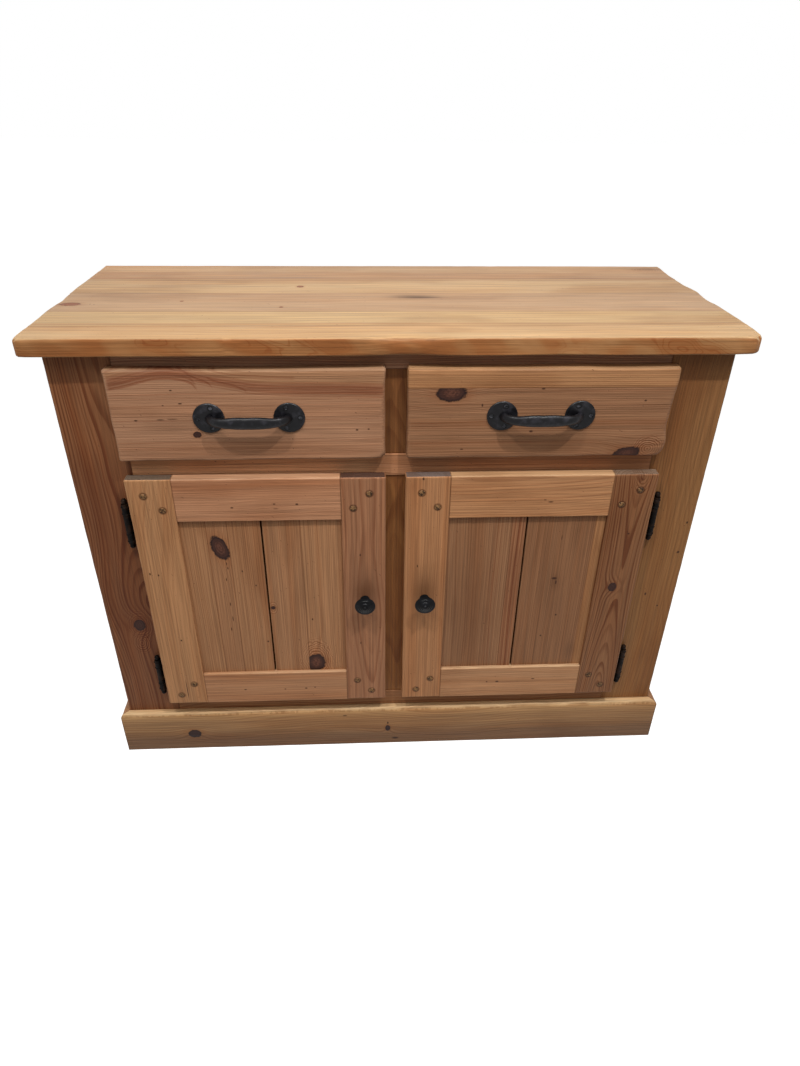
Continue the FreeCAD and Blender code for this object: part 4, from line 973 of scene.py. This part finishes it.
def drawer_fronts():
    looks = {
        "left": pine(
            "drawer_left", (157, 115, 86), **LEVEL, seed=17, pith=(0.9, -0.26), ring=0.0029, contrast=0.6, bands=0.3,
            wander=0.35, worn=0.25, up_face_light=DRAWER_TOP_SHADE, veins=LEFT_DRAWER_VEINS,
            knots=((-0.307, 0.699, 0.0065, 0.005, 0, 0.004),), smears=((-0.336, 0.712, 0.022, 0.006, 0.35),),
            marks=(
                (-0.396, 0.723, 0.0034, 0.0016), (-0.359, 0.724, 0.007, 0.0011), (-0.341, 0.725, 0.01, 0.0007),
                (-0.326, 0.75, 0.0034, 0.0014), (-0.337, 0.771, 0.0026, 0.0013), (-0.061, 0.705, 0.0026, 0.0018),
                (-0.043, 0.706, 0.002, 0.0014), (-0.352, 0.747, 0.002, 0.001))),
        "right": pine(
            "drawer_right", (139, 99, 70), **LEVEL, seed=18, pith=(0.58, -0.28), ring=0.003, contrast=0.9, wander=0.5,
            worn=0.25, up_face_light=DRAWER_TOP_SHADE, veins=RIGHT_DRAWER_VEINS, strips=((0.772, (1.44, 1.46, 1.3)),),
            knots=((0.084, 0.764, 0.023, 0.0135, 0, 0.01), (0.371, 0.659, 0.022, 0.0125, 12, 0.012)),
            ripples=((0.404, 0.668, 0.026, 0.024, 1.0),),
            marks=(
                (0.224, 0.77, 0.0036, 0.0017), (0.212, 0.7, 0.0036, 0.0022), (0.386, 0.75, 0.0026, 0.0018),
                (0.104, 0.67, 0.003, 0.0014), (0.132, 0.744, 0.0016, 0.003))),
    }
    for side in SIDES:
        node = side + "_drawer_front"
        low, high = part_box(node)
        spots = (((high.x, low.y, low.z), 0.014, 0.007), ((high.x, low.y, SCOOP_LEVEL), 0.034, SCOOPS[side]))
        board(
            node, side + "_drawer", "drawer_pine", looks[side], ((0.0045, 0.006), (0.009, 0.002), (0.0042, 0.0042)),
            seed=61 + len(side), gap=0.0055, dish=0.0007, spots=spots,
            shape=drawer_shape(low, high, DRAWER_OUTLINES[side]))


# Doors, with places in X as on the right door

DOOR_STILES = {"meeting_stile": (0.016, 0.090), "hinge_stile": (0.360, 0.434)}
DOOR_NAMES = {"hinge_stile": "outer", "top_rail": "top", "meeting_stile": "inner", "bottom_rail": "bottom"}
KNOB_SMEAR = (0.392, 0.052, 0.022, 0.010, 0.75)
# Painted light: the door rails' top faces are paler, as lit from above
RAIL_TOP_LIGHT = (1.03, 1.24, 1.40)
DOOR_LOOKS = {
    "left": {
        "hinge_stile": dict(
            colour=(168, 121, 82), seed=19, pith=(-0.33, -0.34), ring=0.0034, contrast=0.4, specks=0.6,
            edge=(0.26, 0.37, 0.58),
            marks=(
                (0.44, -0.421, 0.003, 0.0016), (0.437, -0.407, 0.0026, 0.0016), (0.291, -0.389, 0.0024, 0.0018),
                (0.168, -0.395, 0.03, 0.0009))),
        "top_rail": dict(
            colour=(170, 121, 88), seed=20, ring=0.003, contrast=0.35,
            marks=(
                (-0.268, 0.569, 0.003, 0.0016), (-0.199, 0.575, 0.003, 0.0014), (-0.162, 0.574, 0.003, 0.002),
                (-0.197, 0.566, 0.005, 0.0007))),
        "meeting_stile": dict(
            colour=(148, 102, 72), seed=21, edge=(0.21, 0.23, 0.31), pith=(-0.05, -0.27), contrast=0.7,
            marks=((0.472, -0.06, 0.003, 0.0014), (0.276, -0.062, 0.0034, 0.0012))),
        "bottom_rail": dict(
            colour=(166, 119, 84), seed=22, ring=0.003, contrast=0.35, specks=0.4,
            marks=(
                (-0.285, 0.166, 0.003, 0.0016), (-0.209, 0.165, 0.0022, 0.0014), (-0.169, 0.166, 0.003, 0.0018),
                (-0.152, 0.168, 0.0022, 0.0014))),
        "panel_boards": dict(
            colour=(155, 111, 76), seed=23, pith=(-0.56, -0.36), ring=0.0028, contrast=0.6, wander=0.6, specks=0.6,
            strips=(
                (-0.317, (0.95, 0.93, 0.94)), (-0.282, (1.06, 1.08, 1.08)), (-0.225, (0.96, 0.96, 0.98)),
                (-0.16, (1.08, 1.08, 1.06))),
            knots=(
                (0.487, -0.298, 0.0255, 0.0135, -20, 0.01), (0.226, -0.147, 0.021, 0.017, 0, 0.018),
                (0.357, -0.218, 0.0038, 0.0038, 0, 0.005)),
            ripples=((0.357, -0.218, 0.016, 0.01, 0.7), (0.231, -0.147, 0.052, 0.034, 0.8)),
            marks=(
                (0.454, -0.29, 0.004, 0.001), (0.445, -0.289, 0.003, 0.0012), (0.421, -0.294, 0.004, 0.001),
                (0.438, -0.265, 0.003, 0.0012), (0.367, -0.293, 0.005, 0.001), (0.334, -0.292, 0.007, 0.001),
                (0.31, -0.297, 0.005, 0.001), (0.329, -0.149, 0.003, 0.0016), (0.279, -0.233, 0.0024, 0.002),
                (0.407, -0.244, 0.0024, 0.0014))),
    },
    "right": {
        "hinge_stile": dict(
            colour=(130, 89, 59), seed=26, pith=(0.403, -0.246), bow=(0.22, 0.42), contrast=1.6, ring=0.0032,
            bands=0.9, wander=0.25, specks=0.4, knots=((0.394, 0.392, 0.009, 0.0075, 0, 0.006),),
            edge=(0.8, 1.2, 1.84), ripples=((0.622, 0.408, 0.04, 0.018, 0.9),),
            marks=((0.507, 0.402, 0.0022, 0.0022),)),
        "top_rail": dict(
            colour=(170, 121, 82), seed=25, pith=(0.62, -0.28), contrast=0.45, ring=0.003, wander=0.6,
            marks=((0.259, 0.572, 0.005, 0.0014), (0.249, 0.576, 0.003, 0.0009))),
        "meeting_stile": dict(
            colour=(164, 115, 77), seed=24, pith=(-0.2, -0.34), ring=0.003, contrast=0.5, specks=0.4,
            edge=(0.32, 0.5, 0.98),
            marks=((0.447, 0.039, 0.0034, 0.0012), (0.618, 0.045, 0.003, 0.0022))),
        "bottom_rail": dict(
            colour=(174, 129, 92), seed=27, ring=0.003, contrast=0.4, specks=0.3,
            marks=((0.201, 0.171, 0.004, 0.0022), (0.271, 0.176, 0.004, 0.0014), (0.181, 0.171, 0.002, 0.0016))),
        "panel_boards": dict(
            colour=(143, 102, 71), seed=28, pith=(0.02, -0.34), ring=0.0026, contrast=0.7, wander=0.5,
            strips=((0.199, (0.96, 0.86, 0.82)), (0.225, (0.9, 0.96, 0.98)), (0.344, (1.56, 1.72, 1.68))),
            veins=(
                (
                    ((0.2, 0.213), (0.38, 0.21), (0.56, 0.215)),
                    ((0.0, 0.0026, 1.0), (-0.008, 0.0014, 0.7), (0.0065, 0.0012, 0.7)), None),
                (
                    ((0.2, 0.179), (0.4, 0.176), (0.56, 0.177)),
                    ((0.0, 0.0014, 0.7), (-0.006, 0.0012, 0.6), (0.007, 0.001, 0.5)), None)),
            smears=(
                (0.404, 0.288, 0.007, 0.003, 0.45), (0.33, 0.13, 0.08, 0.02, 0.35), (0.385, 0.288, 0.03, 0.01, 0.15),
                (0.243, 0.337, 0.009, 0.005, 0.35)),
            marks=(
                (0.411, 0.286, 0.003, 0.006), (0.402, 0.29, 0.005, 0.0016), (0.279, 0.276, 0.0026, 0.002),
                (0.328, 0.299, 0.0024, 0.0022), (0.497, 0.289, 0.006, 0.0008))),
    },
}


def on_side(span, side):
    """A span in X of the right door, or its mirror image for the left one."""
    return span if side == "right" else (-span[1], -span[0])


def peg_places(side):
    """The centres (x, z) of a door's pegs, read from the CAD node."""
    groups = []
    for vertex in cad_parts[side + "_door_pegs"].data.vertices:
        x, _, z = vertex.co
        for group in groups:
            if math.hypot(group[0][0] - x, group[0][1] - z) < PEG_SPREAD:
                group.append((x, z))
                break
        else:
            groups.append([(x, z)])
    places = []
    for group in groups:
        spans = [[point[axis] for point in group] for axis in (0, 1)]
        places.append(tuple((min(span) + max(span)) / 2 for span in spans))
    return places


def whittled_pegs(side):
    """The door's pegs: cut by hand to uneven facets, with a slightly proud, knifed head."""
    low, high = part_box(side + "_door_pegs")
    levels = ((high.y, 0.0050), (low.y + 0.0014, 0.0056), (low.y + 0.0004, 0.0046), (low.y, 0.0026))
    points, faces = [], []
    for number, (x, z) in enumerate(peg_places(side)):
        start = len(points)
        for level, (y, radius) in enumerate(levels):
            for corner in range(PEG_SIDES):
                angle = 2 * math.pi * (corner + number * 0.37) / PEG_SIDES
                size = radius * (1 + 0.16 * noise.noise(Vector((corner * 1.9, number * 3.1, level * 0.4))))
                tilt = 0.0004 * math.cos(angle - number) if level else 0.0
                points.append((x + size * math.cos(angle), y + tilt * min(level, 2) / 2, z + size * math.sin(angle)))
        for level in range(len(levels) - 1):
            for corner in range(PEG_SIDES):
                first = start + level * PEG_SIDES + corner
                second = start + level * PEG_SIDES + (corner + 1) % PEG_SIDES
                faces.append((first, first + PEG_SIDES, second + PEG_SIDES, second))
        faces.append([start + corner for corner in range(PEG_SIDES)])
        faces.append([start + 3 * PEG_SIDES + corner for corner in range(PEG_SIDES)][::-1])
    return mesh_object(side + "_door_whittled_pegs", points, faces)


def door_looks(side):
    """The materials of a door's boards."""
    looks = {}
    for part, values in DOOR_LOOKS[side].items():
        name = "door_" + side + "_" + DOOR_NAMES[part] if part in DOOR_NAMES else "panel_" + side
        more = {"up_face_light": RAIL_TOP_LIGHT} if part.endswith("rail") else {}
        if part in DOOR_STILES:
            low, high = on_side(DOOR_STILES[part], side)
            more["pegs"] = tuple((z, x) for x, z in peg_places(side) if low < x < high)
        if part == "meeting_stile":
            along, across, *rest = KNOB_SMEAR
            more["smears"] = ((along, across if side == "right" else -across, *rest),)
        axes = LEVEL if part.endswith("rail") else UPRIGHT
        looks[part] = pine(name, **axes, **values, **more)
    return looks


def door(side, peg_wood):
    looks = door_looks(side)
    body = side + "_door"
    left = side == "left"
    outward, front = (0.0028, 0.0009), (0.0028, 0.002)
    arris = {
        "hinge_stile": (outward if left else outward[::-1], front, (0.0028, 0.0028)),
        "meeting_stile": (outward[::-1] if left else outward, front, (0.0028, 0.0028)),
        "top_rail": ((JOINT, JOINT), front, (0.0012, 0.0028)),
        "bottom_rail": ((JOINT, JOINT), front, (0.0016, 0.0028)),
    }
    between = on_side((DOOR_STILES["meeting_stile"][1], DOOR_STILES["hinge_stile"][0]), side)
    for number, part in enumerate(arris):
        rail = part.endswith("rail")
        board(
            body + "_" + part, body, "door_pine", looks[part], arris[part], x=between if rail else None,
            seed=70 + number + 9 * left, gap=0.006, grain=0 if rail else 2, dish=0.0005)
    low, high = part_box(body + "_panel_boards")
    split = -PANEL_SPLIT if left else PANEL_SPLIT
    for number, (start, end) in enumerate(((low.x, split - PANEL_GAP / 2), (split + PANEL_GAP / 2, high.x))):
        arris_x = (JOINT, 0.0012) if number == 0 else (0.0012, JOINT)
        piece = solid_board(
            body + "_panel_board_" + str(number), (start, low.y, low.z), (end, high.y, high.z),
            (arris_x, (0.0012, 0.0012), (JOINT, JOINT)), seed=90 + number + 5 * left, grain=2, dish=0.0006)
        seat(piece, body + "_panel_boards", body, looks["panel_boards"])
    seat(whittled_pegs(side), body + "_pegs", body, peg_wood)


# CAD nodes that stay, with their finish

def dress(nodes, material):
    for node in nodes:
        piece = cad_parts[node]
        piece.data.materials.clear()
        piece.data.materials.append(material)


def inner_boards():
    """Bare boards inside, and the sides, each board of a node with its own tone."""
    bare = (208, 163, 117)
    rows = (
        ("back_boards", "Z", "X", (-0.512, 0.0930909)), ("back_rails", "X", "Z", None),
        ("floor_boards", "X", "Y", (-0.1712, 0.099)), ("shelf_boards", "X", "Y", (-0.1372, 0.1203)),
        ("battens", "X", "Y", None), ("drawer_runners", "Y", "X", None), ("drawer_guides", "Y", "X", None),
        ("kickers", "Y", "X", None), *[(side + "_drawer_sides", "Y", "Z", None) for side in SIDES],
        *[(side + "_drawer_back", "X", "Z", None) for side in SIDES],
        ("left_drawer_bottom", "Y", "X", (-0.434, 0.14)), ("right_drawer_bottom", "Y", "X", (0.016, 0.14)))
    for number, (node, along, across, boards) in enumerate(rows):
        look = pine(
            "bare_" + node, bare, along=along, across=across, seed=40 + number, boards=boards, rough=0.66,
            edge=(0.85, 0.78, 0.7))
        dress([node], look)
    for number, side in enumerate(SIDES):
        look = pine(
            "side_" + side, (140, 98, 66), along="Z", across="Y", seed=15 + number, pith=(0.0, 0.6 - 1.2 * number),
            boards=(-0.1712, 0.102))
        dress([side + "_side_boards"], look)


def ironwork():
    angles = [math.radians(angle) for angle in (180, 75, -75)]
    # The rose screws, with painted shade round each
    pits = []
    for rose, turn in ROSES:
        for angle in angles:
            across, up = [ROSE_SCREW_CIRCLE * part for part in (math.cos(angle), math.sin(angle))]
            pits.append((rose + turn * across, PULL_LEVEL + up))
    dress(
        [side + "_drawer_pull" for side in SIDES],
        iron("black_iron", (43, 42, 47), (12, 11, 14), 0.28, 0.7, 0.2, pits))
    dress([side + "_door_knob" for side in SIDES], iron("turned_iron", (22, 23, 27), (6, 6, 8), 0.27, 0.15, 0.11))
    dress(
        ["hinge_frame_leaves", "hinge_pins", *[side + "_door_hinge_leaves" for side in SIDES]],
        iron("hinge_iron", (44, 30, 22), (10, 7, 6), 0.42, 0.5, 0.06))
    # The pull screws are dark, and their light flecks are painted glints
    dress([side + "_drawer_pull_screws" for side in SIDES], cloudy("black_screws_painted_glints", (84, 84, 90), (3, 3, 4), 0.22))
    dress(
        ["hinge_frame_screws", *[side + "_door_screws" for side in SIDES]],
        cloudy("screws", (128, 126, 124), (12, 11, 11), 0.18, 0.8, 700.0))
    dress([side + "_door_strike_plate" for side in SIDES], cloudy("zinc", (190, 190, 192), (150, 150, 154), 0.3, 0.9))
    dress(["door_catches"], cloudy("catch_plastic", (96, 62, 40), (74, 46, 28), 0.4))


# Studio

def camera():
    data = bpy.data.cameras.new("camera")
    data.lens = CAMERA_LENS
    data.sensor_width = CAMERA_SENSOR
    data.clip_start = 0.05
    data.clip_end = 50.0
    piece = new_object("camera", data)
    forward = Vector(
        (
            math.sin(CAMERA_YAW) * math.cos(CAMERA_PITCH), math.cos(CAMERA_YAW) * math.cos(CAMERA_PITCH),
            -math.sin(CAMERA_PITCH)))
    level = Vector((math.cos(CAMERA_YAW), -math.sin(CAMERA_YAW), 0.0))
    lifted = level.cross(forward)
    right = level * math.cos(CAMERA_ROLL) + lifted * math.sin(CAMERA_ROLL)
    up = lifted * math.cos(CAMERA_ROLL) - level * math.sin(CAMERA_ROLL)
    turn = Matrix((right, up, -forward)).transposed()
    piece.matrix_world = Matrix.Translation(CAMERA_PLACE) @ turn.to_4x4()
    bpy.context.scene.camera = piece


def lamps():
    for place, target, radius, power in LAMPS:
        data = bpy.data.lights.new("lamp", "SPOT")
        data.shadow_soft_size = radius
        data.energy = power
        data.spot_size = LAMP_CONE
        data.spot_blend = 1.0
        piece = new_object("lamp", data)
        piece.location = place
        piece.rotation_mode = "QUATERNION"
        piece.rotation_quaternion = (Vector(target) - Vector(place)).to_track_quat("-Z", "Y")


def seen_directly(g):
    """One where the camera sees the surface, straight, in a reflection or through glass."""
    path = g.node("LightPath").outputs
    total = g.add(path["Is Camera Ray"], path["Is Glossy Ray"], path["Is Transmission Ray"])
    return g.math("MINIMUM", total, 1.0)


def sky():
    world = bpy.data.worlds.new("sky")
    bpy.context.scene.world = world
    world.use_nodes = True
    g = Graph(world.node_tree)
    back = world.node_tree.nodes["Background"]
    back.inputs["Color"].default_value = (1.0, 1.0, 1.0, 1.0)
    g.put(back.inputs["Strength"], g.add(g.times(seen_directly(g), 1.0 - SKY), SKY))


def floor():
    """A white floor that keeps the object's shadow: its own light where it is seen, and a grey that is lit."""
    half = FLOOR_SIZE / 2
    corners = [(-half, -half, 0), (half, -half, 0), (half, half, 0), (-half, half, 0)]
    piece = mesh_object("floor", corners, [(0, 1, 2, 3)])
    material, g, shader = new_material("floor")
    shader.inputs["Base Color"].default_value = (FLOOR_COLOUR, FLOOR_COLOUR, FLOOR_COLOUR, 1.0)
    shader.inputs["Roughness"].default_value = 1.0
    shader.inputs["Specular IOR Level"].default_value = 0.0
    glow = g.node("Emission", {"Strength": g.times(seen_directly(g), FLOOR_OWN_LIGHT)})
    both = g.node("AddShader", {0: shader.outputs[0], 1: glow.outputs[0]})
    g.put(material.node_tree.nodes["Material Output"].inputs["Surface"], both.outputs[0])
    piece.data.materials.append(material)


slab()
face_frame()
plinth()
drawer_fronts()
peg_wood = cloudy("peg_wood", (144, 106, 68), (46, 29, 17), 0.5, scale=340.0)
for side in SIDES:
    door(side, peg_wood)
inner_boards()
ironwork()
camera()
lamps()
sky()
floor()
bpy.context.scene.view_settings.view_transform = "Standard"
